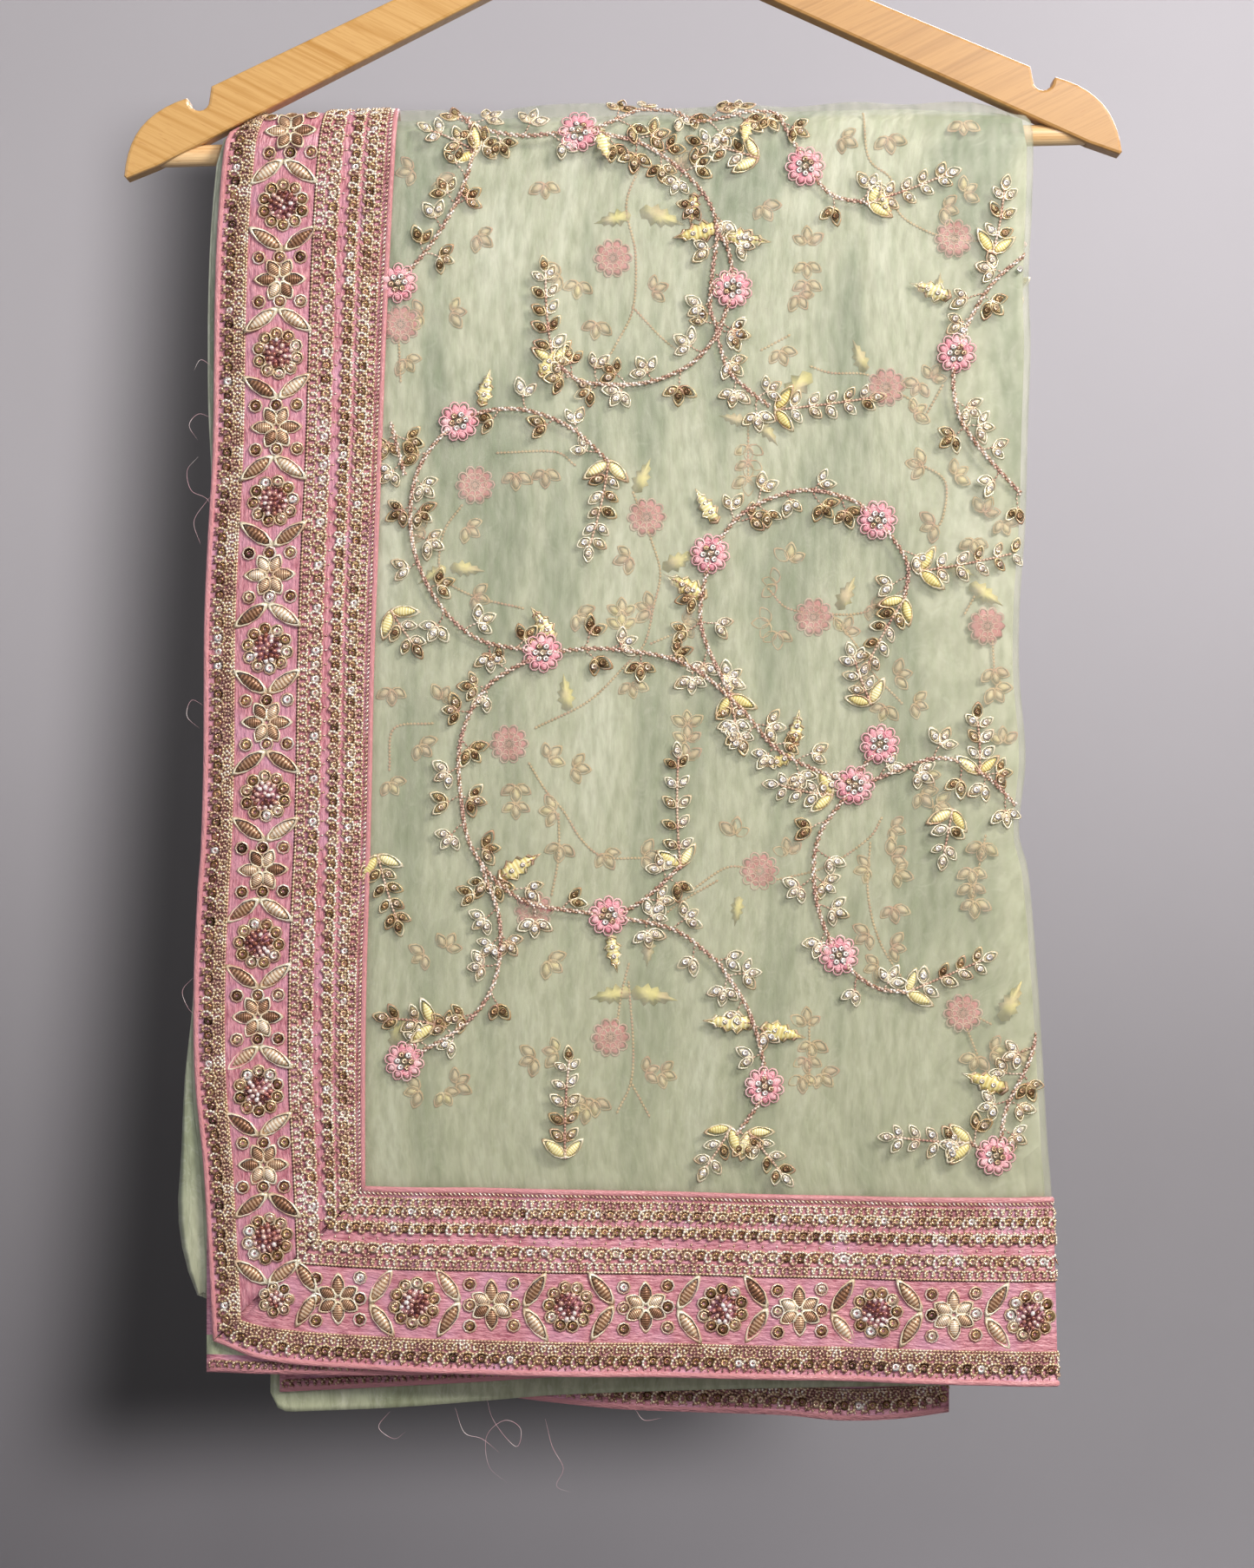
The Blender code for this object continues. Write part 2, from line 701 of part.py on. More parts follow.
def arm_outline():
    """The right arm's outline in the XZ plane, from the flat at the centre round its notch and beak."""

    def top(x):
        return ARM_TOP_Z - ARM_TOP_SLOPE * x

    def foot(x):
        return ARM_FOOT_Z - ARM_FOOT_SLOPE * x

    flat_end = (ARM_TOP_Z - APEX_FLAT_Z) / ARM_TOP_SLOPE
    near = NOTCH_X - NOTCH_RADIUS
    far = NOTCH_X + NOTCH_RADIUS
    notch_z = top(NOTCH_X) - NOTCH_DEPTH + NOTCH_RADIUS
    points = [(CLEARANCE / 2, APEX_FLAT_Z), (flat_end, APEX_FLAT_Z)]
    points += [(near - NOTCH_SHOULDER, top(near - NOTCH_SHOULDER))]
    points += arc((NOTCH_X, notch_z), NOTCH_RADIUS, 180, 360, 8)
    beak_start = (far + NOTCH_SHOULDER, top(far + NOTCH_SHOULDER))
    points.append(beak_start)
    beak = (
        (beak_start, BEAK_CROWN, BEAK_MIDDLE),
        (BEAK_MIDDLE, BEAK_FRONT, (TIP_X, TIP_Z + TIP_BEVEL)),
    )
    for start, pull, end in beak:
        for share in spread(0.0, 1.0, 5)[1:]:
            rest = 1.0 - share
            points.append(
                tuple(rest * rest * s + 2 * rest * share * p + share * share * e
                      for s, p, e in zip(start, pull, end))
            )
    points += [(TIP_X - TIP_BEVEL, TIP_Z), (FOOT_END_X, foot(FOOT_END_X))]
    angle = math.degrees(math.atan(ARM_FOOT_SLOPE))
    centre_z = ARM_FOOT_Z - CENTRE_FILLET / math.cos(math.radians(angle))
    fillet = arc((0.0, centre_z), CENTRE_FILLET, 90 - angle, 90, 4)
    fillet = [(max(x, CLEARANCE / 2), z) for x, z in fillet]
    return points + fillet


def cutter(name, radius, start, end, parent):
    """A hidden round cutter between two points."""
    bm = bmesh.new()
    line = Vector(end) - Vector(start)
    bmesh.ops.create_cone(
        bm, cap_ends=True, segments=ROUND_SIDES, radius1=radius, radius2=radius, depth=line.length
    )
    turn = line.to_track_quat("Z", "Y").to_matrix().to_4x4()
    bmesh.ops.transform(bm, matrix=turn, verts=bm.verts)
    bmesh.ops.translate(bm, vec=(Vector(start) + Vector(end)) / 2, verts=bm.verts)
    tool = keep(name, bm, VARNISHED_WOOD, parent)
    tool.hide_render = True
    tool.display_type = "WIRE"
    return tool


def arm(name, side, cutters, parent):
    """One flat arm with rounded edges, bored for the bar and the hook."""
    bm = bmesh.new()
    half = ARM_THICKNESS / 2
    outline = [bm.verts.new((side * x, -half, z)) for x, z in arm_outline()]
    cap = bm.faces.new(outline)
    grown = bmesh.ops.extrude_face_region(bm, geom=[cap])
    moved = [v for v in grown["geom"] if isinstance(v, bmesh.types.BMVert)]
    bmesh.ops.translate(bm, vec=(0.0, ARM_THICKNESS, 0.0), verts=moved)
    bmesh.ops.recalc_face_normals(bm, faces=bm.faces)
    faces_rim = [e for e in bm.edges if e.verts[0].co.y * e.verts[1].co.y > 0.0]
    rims = [e for e in faces_rim if max(abs(v.co.x) for v in e.verts) > CLEARANCE]
    bmesh.ops.bevel(bm, geom=rims, offset=ARM_EDGE_ROUND, segments=2, profile=0.5, affect="EDGES")
    piece = keep(name, bm, VARNISHED_WOOD, parent)
    for tool in cutters:
        cut = piece.modifiers.new(tool.name, "BOOLEAN")
        cut.operation = "DIFFERENCE"
        cut.solver = "EXACT"
        cut.object = tool
    return piece


def bar(parent):
    """The round bar between the arms."""
    bm = bmesh.new()
    bmesh.ops.create_cone(
        bm,
        cap_ends=True,
        segments=ROUND_SIDES,
        radius1=BAR_RADIUS,
        radius2=BAR_RADIUS,
        depth=2 * BAR_HALF_LENGTH,
    )
    for vert in bm.verts:
        vert.co = Vector((vert.co.z, vert.co.y, vert.co.x + BAR_Z))
    return keep("hanger_bar", bm, VARNISHED_WOOD, parent)


def hook(parent):
    """The wire hook: a straight shank, a bend to the right and a round crook open to the left."""
    crook = HOOK_INNER_RADIUS + HOOK_WIRE_RADIUS
    middle = -HOOK_INNER_RADIUS
    under = middle - crook
    points = [(0.0, z) for z in spread(SHANK_END_Z, under - SHANK_STRAIGHT_TO, 3)]
    points += [(x, under - below) for x, below in SHANK_BEND]
    points += arc((0.0, middle), crook, HOOK_START_DEG, HOOK_END_DEG, 20)
    data = bpy.data.curves.new("hanger_hook", "CURVE")
    data.dimensions = "3D"
    line = data.splines.new("POLY")
    line.points.add(len(points) - 1)
    for point, (x, z) in zip(line.points, points):
        point.co = (x * MM, 0.0, z * MM, 1.0)
    data.bevel_depth = HOOK_WIRE_RADIUS * MM
    data.bevel_resolution = 2
    data.use_fill_caps = True
    data.materials.append(material(PLATED_STEEL))
    piece = bpy.data.objects.new("hanger_hook", data)
    piece.parent = parent
    bpy.context.scene.collection.objects.link(piece)
    return piece


def hanger():
    """The wooden hanger, leaning on its hook."""
    frame = bpy.data.objects.new("hanger", None)
    frame.rotation_euler = (0.0, math.radians(-LEAN_DEG), 0.0)
    bpy.context.scene.collection.objects.link(frame)
    room = BAR_RADIUS + CLEARANCE
    reach = BAR_HALF_LENGTH + CLEARANCE
    bar_room = cutter("bar_room", room, (-reach, 0.0, BAR_Z), (reach, 0.0, BAR_Z), frame)
    shank_room = cutter(
        "shank_room",
        HOOK_WIRE_RADIUS + CLEARANCE,
        (0.0, 0.0, SHANK_END_Z - CLEARANCE),
        (0.0, 0.0, APEX_FLAT_Z + SHANK_BORE_ABOVE),
        frame,
    )
    arm("hanger_arm_left", -1.0, (bar_room, shank_room), frame)
    arm("hanger_arm_right", 1.0, (bar_room, shank_room), frame)
    bar(frame)
    hook(frame)


def saree():
    """The cloth, piece by piece."""
    cloth = bpy.data.objects.new("saree", None)
    bpy.context.scene.collection.objects.link(cloth)
    field("field_front", FRONT, FRONT_COLUMNS, cloth)
    field("field_back", BACK, BACK_COLUMNS, cloth)
    side_border("side_border_front", FRONT, cloth)
    side_border("side_border_back", BACK, cloth)
    hem_border("hem_border_front", FRONT, cloth)
    hem_border("hem_border_back", BACK, cloth)
    folded_layers(cloth)
    hanging_layer("hem_layer_2", HEM_LAYER_2, ZARI_BORDER, cloth, side=FRONT)
    hanging_layer("hem_layer_3", HEM_LAYER_3, ZARI_BORDER, cloth, middle=LAYER_3_Y)
    hanging_layer(
        "organza_layer_4", ORGANZA_LAYER_4, ORGANZA, cloth, middle=LAYER_4_Y, corner=LAYER_CORNER
    )
    hanging_layer("hem_layer_5", HEM_LAYER_5, ZARI_BORDER, cloth, middle=LAYER_5_Y)


def main():
    """Empties the scene and builds the saree on its hanger."""
    for old in list(bpy.data.objects):
        bpy.data.objects.remove(old, do_unlink=True)
    hanger()
    saree()


main()
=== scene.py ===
"""Looks of an embroidered organza saree, folded lengthwise and hung over the bar of a flat wooden hanger.

Every stretch of cloth is worked out in its own coordinates: u across it and drop down it from the middle of
the bar, in millimetres, and raised off its face. What is sewn on a stretch is placed in the same coordinates,
so that it follows the folds. The frame's metres begin where a mesh is made.
"""

import logging
import math
from abc import ABC, abstractmethod
from dataclasses import dataclass, field
from enum import Enum
from typing import Any, Iterable, Sequence

import bmesh
import bpy
import numpy as np
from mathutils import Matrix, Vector

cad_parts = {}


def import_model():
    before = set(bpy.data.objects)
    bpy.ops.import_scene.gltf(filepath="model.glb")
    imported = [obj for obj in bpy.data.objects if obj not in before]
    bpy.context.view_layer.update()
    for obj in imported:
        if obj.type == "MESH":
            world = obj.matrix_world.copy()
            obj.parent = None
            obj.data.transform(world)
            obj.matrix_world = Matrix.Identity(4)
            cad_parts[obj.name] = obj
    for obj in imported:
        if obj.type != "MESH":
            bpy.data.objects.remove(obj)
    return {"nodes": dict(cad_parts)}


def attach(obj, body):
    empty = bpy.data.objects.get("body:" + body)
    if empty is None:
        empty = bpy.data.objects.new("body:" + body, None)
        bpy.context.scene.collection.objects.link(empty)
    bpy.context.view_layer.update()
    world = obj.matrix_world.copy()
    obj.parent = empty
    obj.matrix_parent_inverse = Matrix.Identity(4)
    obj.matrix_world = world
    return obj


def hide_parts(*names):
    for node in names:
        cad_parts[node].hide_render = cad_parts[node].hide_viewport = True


LOG = logging.getLogger("saree")
MM = 0.001
SEED = 11
Array = np.ndarray
Values = Array | float
Pair = tuple[float, float]
Places = tuple[Array, Array]
Mesh = bpy.types.Mesh
Node = bpy.types.ShaderNode
Piece = bpy.types.Object
Socket = bpy.types.NodeSocket
Tree = bpy.types.NodeTree
Stops = tuple[tuple[float, str], ...]

# The kinds of nodes that the materials use most
ATTRIBUTE = "ShaderNodeAttribute"
BUMP = "ShaderNodeBump"
COORDINATES = "ShaderNodeTexCoord"
MATH = "ShaderNodeMath"
MIX = "ShaderNodeMix"
NOISE = "ShaderNodeTexNoise"
RAMP = "ShaderNodeValToRGB"
RANGE = "ShaderNodeMapRange"
SPLIT = "ShaderNodeSeparateXYZ"

# Hanger, in its own upright frame, in millimetres
LEAN = math.radians(1.4)
BAR_Z = -177.0
BAR_RADIUS = 4.75

# Cloth, in millimetres, as in the solids
FOLD_RADIUS = 1.5
ARC_RADIUS = 17.0
RIDGE = -ARC_RADIUS * math.pi / 2
UNDER_SHEET = 1.5
LAYERS_START = 457.0
EDGE_ROUND = 3.0
EDGE_ROUND_WIDTH = 18.0
SWAY = 1.3
SWAY_WAVE = 260.0
BORDER_WIDTH = 77.0
SHEET_WALL = 0.3
BEHIND_DEPTH = 1.75
SATIN_WALL = 0.8


def ease(start: float, end: float, at: Values) -> Array:
    """A smooth step.

    Args:
        start: where it leaves 0.
        end: where it reaches 1.
        at: the places to read.

    Returns:
        Its value at each place.
    """
    share = np.clip((np.asarray(at, float) - start) / (end - start), 0.0, 1.0)
    return share * share * (3.0 - 2.0 * share)


def turns(count: int) -> Array:
    """Even angles all the way round, in radians."""
    return np.arange(count) * 2 * math.pi / count


class Table:
    """A short table with named columns, read on a smooth curve through its rows."""

    def __init__(self, columns: str, *rows: Sequence[float]) -> None:
        """Keeps the rows.

        Args:
            columns: the columns' names, the first being the place along the table.
            rows: the values of each row.
        """
        self.names = columns.split()
        self.values = dict(zip(self.names, np.array(rows, float).T))
        self.places = self.values[self.names[0]]

    def rows(self) -> Iterable[dict[str, float]]:
        """Each row, as the value of each column by its name."""
        for i in range(len(self.places)):
            yield {name: float(self.values[name][i]) for name in self.names}

    def read(self, column: str, at: Values) -> Array:
        """Reads one column between the rows.

        Args:
            column: the column's name.
            at: places along the first column, held at its ends.

        Returns:
            The column's value at each place.
        """
        places = self.places
        values = self.values[column]
        at = np.clip(np.asarray(at, float), places[0], places[-1])
        slopes = np.empty(len(places))
        slopes[1:-1] = (values[2:] - values[:-2]) / (places[2:] - places[:-2])
        slopes[0] = (values[1] - values[0]) / (places[1] - places[0])
        slopes[-1] = (values[-1] - values[-2]) / (places[-1] - places[-2])
        low = np.clip(np.searchsorted(places, at, side="right") - 1, 0, len(places) - 2)
        span = places[low + 1] - places[low]
        share = (at - places[low]) / span
        square = share * share
        cube = square * share
        return (
            (2 * cube - 3 * square + 1) * values[low]
            + (cube - 2 * square + share) * span * slopes[low]
            + (3 * square - 2 * cube) * values[low + 1]
            + (cube - square) * span * slopes[low + 1]
        )


HALVES = Table(
    "drop front back",
    (RIDGE, 14.8, 14.8), (0, 14.8, 14.8), (40, 14.2, 14.0), (90, 13.0, 12.8), (180, 12.6, 12.4),
    (300, 12.9, 12.6), (420, 14.6, 14.0), (500, 16.4, 15.6), (560, 17.4, 16.4),
)
RIDGE_DROOP = Table(
    "x droop",
    (-172, 5.0), (-166, 3.6), (-158, 1.2), (-148, 0.0), (158, 0.0), (168, 1.4), (176, 4.2), (183, 6.2),
)
RIDGE_RISE = Table(
    "x rise",
    (-166, 0.4), (-155, 2.2), (-95, 3.0), (-72, 2.5), (-58, 0.4), (-44, 2.6), (-26, 4.0), (-2, 3.8),
    (26, 0.9), (58, 1.8), (79, 0.3), (107, 2.0), (130, 0.4), (150, 1.2), (168, 0.3), (176, 0.0),
)
FRONT_EDGES = Table(
    "drop left seam right",
    (RIDGE, -166.0, -95.0, 176.0), (-12, -169.5, -95.2, 183.0), (0, -172.0, -95.8, 186.0),
    (30, -175.0, -97.6, 186.1), (65, -176.5, -99.4, 184.6), (95, -177.0, -100.7, 185.4),
    (132, -177.6, -102.0, 184.2), (175, -180.0, -103.6, 183.1), (208, -181.4, -104.8, 180.7),
    (240, -181.6, -105.8, 180.4), (278, -181.9, -106.5, 183.2), (311, -183.0, -107.2, 180.2),
    (326, -184.2, -107.6, 184.0), (366, -185.9, -108.8, 187.7), (410, -185.4, -109.4, 190.5),
    (448, -181.6, -109.4, 192.6), (480, -179.6, -109.0, 195.0), (527, -177.0, -108.5, 196.3),
    (556, -176.0, -108.0, 196.9),
)
BACK_EDGES = Table(
    "drop left seam right",
    (RIDGE, -166.0, -95.0, 176.0), (-12, -169.5, -95.2, 183.0), (0, -172.0, -95.8, 186.0),
    (60, -175.0, -98.0, 184.5), (150, -173.0, -96.5, 181.0), (240, -176.5, -99.8, 179.0),
    (311, -172.5, -96.4, 177.0), (400, -175.5, -99.0, 183.5), (480, -171.0, -95.8, 187.0),
    (545, -169.0, -94.5, 188.5),
)
FRONT_HEM = Table(
    "x seam edge",
    (-177.0, 452.0, 527.0), (-153.0, 455.5, 535.6), (-109.0, 459.7, 540.5), (-56.0, 461.6, 544.0),
    (36.0, 466.0, 548.0), (105.0, 469.4, 551.1), (197.0, 472.4, 556.0),
)
BACK_HEM = Table(
    "x seam edge",
    (-170.0, 455.0, 531.0), (-95.0, 458.0, 537.0), (0.0, 460.0, 541.0), (95.0, 463.5, 543.0),
    (188.0, 466.0, 547.0),
)
FRONT_FOLDS = Table(
    "top hem width rise",
    (-138, -146, 30, 0.9), (-72, -84, 16, 1.4), (-36, -30, 22, 2.3), (8, -2, 15, 1.2), (46, 54, 20, 2.1),
    (86, 76, 14, 1.4), (120, 130, 18, 2.2), (158, 152, 13, 1.3),
)
BACK_FOLDS = Table(
    "top hem width rise",
    (-134, -128, 28, 0.9), (-66, -58, 20, 2.0), (-22, -30, 15, 1.3), (20, 26, 24, 2.2), (68, 60, 16, 1.5),
    (108, 116, 20, 2.1), (152, 146, 14, 1.2),
)

# The creases between the folds: the middle, half length along the drop, sideways run for each mm of drop,
# half width and rise, which is negative in a trough
FRONT_CREASES = Table(
    "x drop length lean width rise",
    (-70, 60, 70, -0.06, 5.0, 0.7), (-52, 205, 80, 0.10, 6.0, -0.6), (-14, 95, 90, 0.05, 5.0, -0.8),
    (-6, 260, 60, -0.12, 4.0, 0.6), (22, 165, 75, 0.08, 4.5, 0.8), (34, 330, 90, -0.05, 5.5, -0.7),
    (66, 70, 60, 0.14, 4.0, 0.8), (72, 235, 70, 0.02, 5.0, -0.6), (98, 140, 60, -0.10, 4.0, 0.7),
    (104, 395, 60, 0.09, 4.5, 0.7), (128, 60, 80, -0.04, 5.0, -0.7), (142, 250, 90, 0.06, 5.0, 0.8),
    (162, 120, 55, 0.10, 4.0, 0.6), (168, 330, 60, -0.16, 4.0, 0.7), (-40, 400, 60, 0.12, 5.0, 0.7),
    (8, 430, 45, -0.18, 4.0, 0.6), (70, 455, 50, 0.10, 5.0, -0.6), (-150, 120, 90, 0.02, 9.0, 0.5),
    (-128, 300, 110, -0.02, 11.0, 0.6), (-158, 420, 70, 0.03, 8.0, -0.5), (-20, 520, 40, 0.30, 11.0, 0.5),
    (92, 505, 45, -0.25, 12.0, 0.5),
)
BACK_CREASES = Table(
    "x drop length lean width rise",
    (-60, 90, 80, 0.07, 5.0, 0.7), (-44, 280, 90, -0.06, 6.0, -0.7), (-10, 180, 70, 0.10, 4.5, 0.7),
    (16, 60, 60, -0.10, 4.0, 0.7), (34, 340, 80, 0.05, 5.0, 0.8), (62, 200, 80, -0.05, 5.0, -0.7),
    (92, 90, 70, 0.12, 4.5, 0.7), (104, 300, 80, -0.08, 5.0, 0.7), (138, 180, 90, 0.04, 5.5, -0.6),
    (150, 390, 60, 0.12, 4.5, 0.7), (-20, 420, 60, -0.10, 5.0, 0.6), (-140, 200, 110, 0.02, 10.0, 0.5),
    (-120, 380, 80, -0.03, 9.0, 0.5), (20, 515, 45, 0.22, 11.0, 0.5),
)


def bar_height(x: Values) -> Array:
    """Height of the bar's axis at x, which leans with the hanger."""
    return BAR_Z + np.asarray(x, float) * math.tan(LEAN)


def sway(x: Array, drop: Array) -> Array:
    """The slow wave that the whole bundle makes from front to back, below the bar."""
    return SWAY * np.sin(x / SWAY_WAVE * 2 * math.pi) * ease(20.0, 140.0, drop)


@dataclass(frozen=True)
class Side:
    """One side of the hung bundle, with its edges and its relief."""

    name: str
    way: float
    edges: Table
    hem: Table
    folds: Table
    creases: Table

    def left(self, drop: Values) -> Array:
        """The free edge at this drop."""
        return self.edges.read("left", drop)

    def seam(self, drop: Values) -> Array:
        """The seam of the side border at this drop."""
        return self.edges.read("seam", drop)

    def right(self, drop: Values) -> Array:
        """The right fold at this drop."""
        return self.edges.read("right", drop)

    def hem_seam(self, x: Values) -> Array:
        """The drop of the hem border's seam at x."""
        return self.hem.read("seam", x)

    def hem_edge(self, x: Values) -> Array:
        """The drop of the lower edge at x."""
        return self.hem.read("edge", x)

    def height(self, x: Array, drop: Array) -> Array:
        """From the middle plane, or the bar's axis, out to the plain surface of the bundle."""
        pressed = RIDGE_DROOP.read("droop", x) * (1.0 - ease(-20.0, -4.0, drop))
        near_left = 1.0 - ease(0.0, EDGE_ROUND_WIDTH, x - self.left(drop))
        near_right = 1.0 - ease(0.0, EDGE_ROUND_WIDTH, self.right(drop) - x)
        rounded = EDGE_ROUND * np.maximum(near_left, near_right) * ease(-10.0, 30.0, drop)
        return HALVES.read(self.name, drop) - pressed - rounded

    def lift(self, x: Array, drop: Array) -> Array:
        """How far the outer sheet's folds and creases stand off the plain surface."""
        along = np.clip(drop / self.hem_edge(x), 0.0, 1.0)
        total = np.zeros(np.broadcast(x, drop).shape)
        for row in self.folds.rows():
            middle = row["top"] + (row["hem"] - row["top"]) * along
            total = total + row["rise"] * np.exp(-(((x - middle) / row["width"]) ** 2))
        for row in self.creases.rows():
            down = drop - row["drop"]
            off = (x - row["x"] - row["lean"] * down) / row["width"]
            total = total + row["rise"] * np.exp(-(off**2) - (down / row["length"]) ** 2)
        turned = ease(-8.0, 60.0, drop)
        return RIDGE_RISE.read("rise", x) * (1.0 - turned) + total * turned

    def at(self, x: Array, drop: Array, out: Array) -> Array:
        """A point that stands out from the middle plane by this much.

        Args:
            x: across the bundle.
            drop: down from the bar, negative on the arc over it.
            out: from the middle plane, or the bar's axis.

        Returns:
            The points, in millimetres.
        """
        angle = math.pi / 2 + np.minimum(drop, 0.0) / ARC_RADIUS
        y = self.way * out * np.sin(angle) + sway(x, drop)
        z = bar_height(x) + out * np.cos(angle) - np.maximum(drop, 0.0)
        return np.stack(np.broadcast_arrays(x, y, z), axis=-1)

    def mitre(self, share: Values) -> Places:
        """A place on the corner's mitre, from the outer corner at 0 to the inner one at 1."""
        inner_drop = self.hem_seam(self.seam(LAYERS_START))
        outer_x = self.hem.places[0]
        outer_drop = self.hem_edge(outer_x)
        x = outer_x + (self.seam(inner_drop) - outer_x) * share
        return x, outer_drop + (inner_drop - outer_drop) * share


FRONT = Side("front", -1.0, FRONT_EDGES, FRONT_HEM, FRONT_FOLDS, FRONT_CREASES)
BACK = Side("back", 1.0, BACK_EDGES, BACK_HEM, BACK_FOLDS, BACK_CREASES)


class Cloth(ABC):
    """A stretch of cloth on which things are placed by u across it and drop down it."""

    way = -1.0

    @abstractmethod
    def place(self, u: Array, drop: Array, raised: Values = 0.0) -> Array:
        """The points at u and drop, raised off the cloth's face, in millimetres."""

    def shows(self, u: Array, drop: Array) -> Array:
        """Which places may be sewn on, all of them unless a cloth says otherwise."""
        return np.ones(np.broadcast(u, drop).shape, bool)

    def frames(self, u: Array, drop: Array, raised: Values = 0.0) -> tuple[Array, ...]:
        """The cloth's own directions at some places.

        Args:
            u: places across the cloth.
            drop: places down it.
            raised: how far off its face.

        Returns:
            The points, and unit vectors across the cloth, down it and off its face.
        """
        step = 0.4
        u = np.asarray(u, float)
        drop = np.asarray(drop, float)
        across = self.place(u + step, drop, raised) - self.place(u - step, drop, raised)
        down = self.place(u, drop + step, raised) - self.place(u, drop - step, raised)
        across /= np.linalg.norm(across, axis=-1, keepdims=True)
        up = self.way * np.cross(across, down)
        up /= np.linalg.norm(up, axis=-1, keepdims=True)
        return self.place(u, drop, raised), across, np.cross(across, up) * -self.way, up


class OuterSheet(Cloth):
    """The sheet that shows on one side, with its folds, round its right fold and a little behind it."""

    def __init__(self, side: Side) -> None:
        """Keeps the side that the sheet hangs on."""
        self.side = side
        self.way = side.way

    def bend(self, drop: Array) -> Array:
        """Where the sheet starts to turn round its right fold."""
        return self.side.right(drop) - FOLD_RADIUS

    def place(self, u: Array, drop: Array, raised: Values = 0.0) -> Array:
        """The points at u and drop, where u runs on round the fold."""
        bend = self.bend(drop)
        x = np.minimum(u, bend)
        past = np.maximum(u - bend, 0.0)
        angle = np.minimum(past / FOLD_RADIUS, math.pi)
        tail = np.maximum(past - FOLD_RADIUS * math.pi, 0.0)
        radius = FOLD_RADIUS + raised
        out = self.side.height(x, drop) + self.side.lift(x, drop) - FOLD_RADIUS + radius * np.cos(angle)
        points = self.side.at(x, drop, out)
        points[..., 0] += radius * np.sin(angle) - tail
        return points


class FaceSheet(OuterSheet):
    """The same sheet short of its right fold, for what is too stiff to go round it."""

    def shows(self, u: Array, drop: Array) -> Array:
        """Leaves out the fold."""
        return u < self.bend(drop) - 1.2


class FieldSheet(FaceSheet):
    """The same sheet where it is plain field: inside the borders and short of its right fold."""

    def shows(self, u: Array, drop: Array) -> Array:
        """Leaves out what the borders cover, too."""
        inside = super().shows(u, drop) & (u > self.side.seam(drop) + 0.6)
        return inside & (drop < self.side.hem_seam(u) - 1.0) & (drop > RIDGE)


class DeepLayer(Cloth):
    """A layer that lies plainly at one depth under the outer sheet."""

    def __init__(self, side: Side, depth: float) -> None:
        """Keeps the side and the layer's depth under the bundle's plain surface."""
        self.side = side
        self.way = side.way
        self.depth = depth

    def place(self, u: Array, drop: Array, raised: Values = 0.0) -> Array:
        """The points at u and drop."""
        return self.side.at(u, drop, self.side.height(u, drop) - self.depth + raised)


class UnderLayer(DeepLayer):
    """The same layer where it shows through the sheer field."""

    def shows(self, u: Array, drop: Array) -> Array:
        """Leaves out what lies behind the borders or near the fold."""
        inside = (u > self.side.seam(drop) - 2.0) & (u < self.side.right(drop) - 9.0)
        return inside & (drop < self.side.hem_seam(u) + 1.0) & (drop > RIDGE)


class MiddleLayer(Cloth):
    """A layer that hangs near the bundle's middle plane."""

    def __init__(self, middle: float) -> None:
        """Keeps the layer's place from front to back."""
        self.middle = middle

    def place(self, u: Array, drop: Array, raised: Values = 0.0) -> Array:
        """The points at u and drop."""
        y = self.middle + sway(u, drop) - raised
        return np.stack(np.broadcast_arrays(u, y, bar_height(u) - drop), axis=-1)


def linear(colour: str) -> tuple[float, float, float, float]:
    """Turns an sRGB hex colour to linear.

    Args:
        colour: the colour as #RRGGBB.

    Returns:
        Linear red, green and blue, and full alpha.
    """
    parts = [int(colour[i : i + 2], 16) / 255 for i in (1, 3, 5)]
    red, green, blue = (p / 12.92 if p <= 0.04045 else ((p + 0.055) / 1.055) ** 2.4 for p in parts)
    return red, green, blue, 1.0


def feed(tree: Tree, node: Node, inputs: dict[str | int, Any]) -> None:
    """Feeds a node's inputs.

    Args:
        tree: the node's tree.
        node: the node.
        inputs: a socket, a constant or an sRGB hex colour for each input, by the input's name or number.
    """
    for key, value in inputs.items():
        if isinstance(value, Socket):
            tree.links.new(value, node.inputs[key])
        else:
            coloured = isinstance(value, str) and value.startswith("#")
            node.inputs[key].default_value = linear(value) if coloured else value


def add(tree: Tree, kind: str, inputs: dict | None = None, stops: Stops = (), **settings: Any) -> Any:
    """Adds a node with its settings, its constants and its links.

    Args:
        tree: the tree that gets the node.
        kind: the node's type.
        inputs: what feeds it, by the input's name or number.
        stops: the places and sRGB colours of a colour ramp.
        settings: the node's own settings.

    Returns:
        The node's outputs.
    """
    node = tree.nodes.new(kind)
    for name, value in settings.items():
        setattr(node, name, value)
    feed(tree, node, inputs or {})
    if stops:
        elements = node.color_ramp.elements
        while len(elements) < len(stops):
            elements.new(1.0)
        for element, (place, colour) in zip(elements, stops):
            element.position = place
            element.color = linear(colour)
    return node.outputs


def pattern_place(tree: Tree, size_mm: Sequence[float], turn: float = 0.0, by: str = "Object") -> Socket:
    """Coordinates for a pattern, in units of its own repeat.

    Args:
        tree: the material's tree.
        size_mm: the repeat along each axis, in millimetres.
        turn: a turn about Y before the scale, in radians.
        by: the coordinates to start from, Object or UV.

    Returns:
        The vector socket.
    """
    start = add(tree, COORDINATES)[by]
    if turn:
        inputs = {"Vector": start, "Angle": turn}
        start = add(tree, "ShaderNodeVectorRotate", inputs, rotation_type="Y_AXIS")["Vector"]
    scale = [1.0 / (size * MM) for size in size_mm]
    return add(tree, "ShaderNodeMapping", {"Vector": start, "Scale": (*scale, 1.0)[:3]})["Vector"]


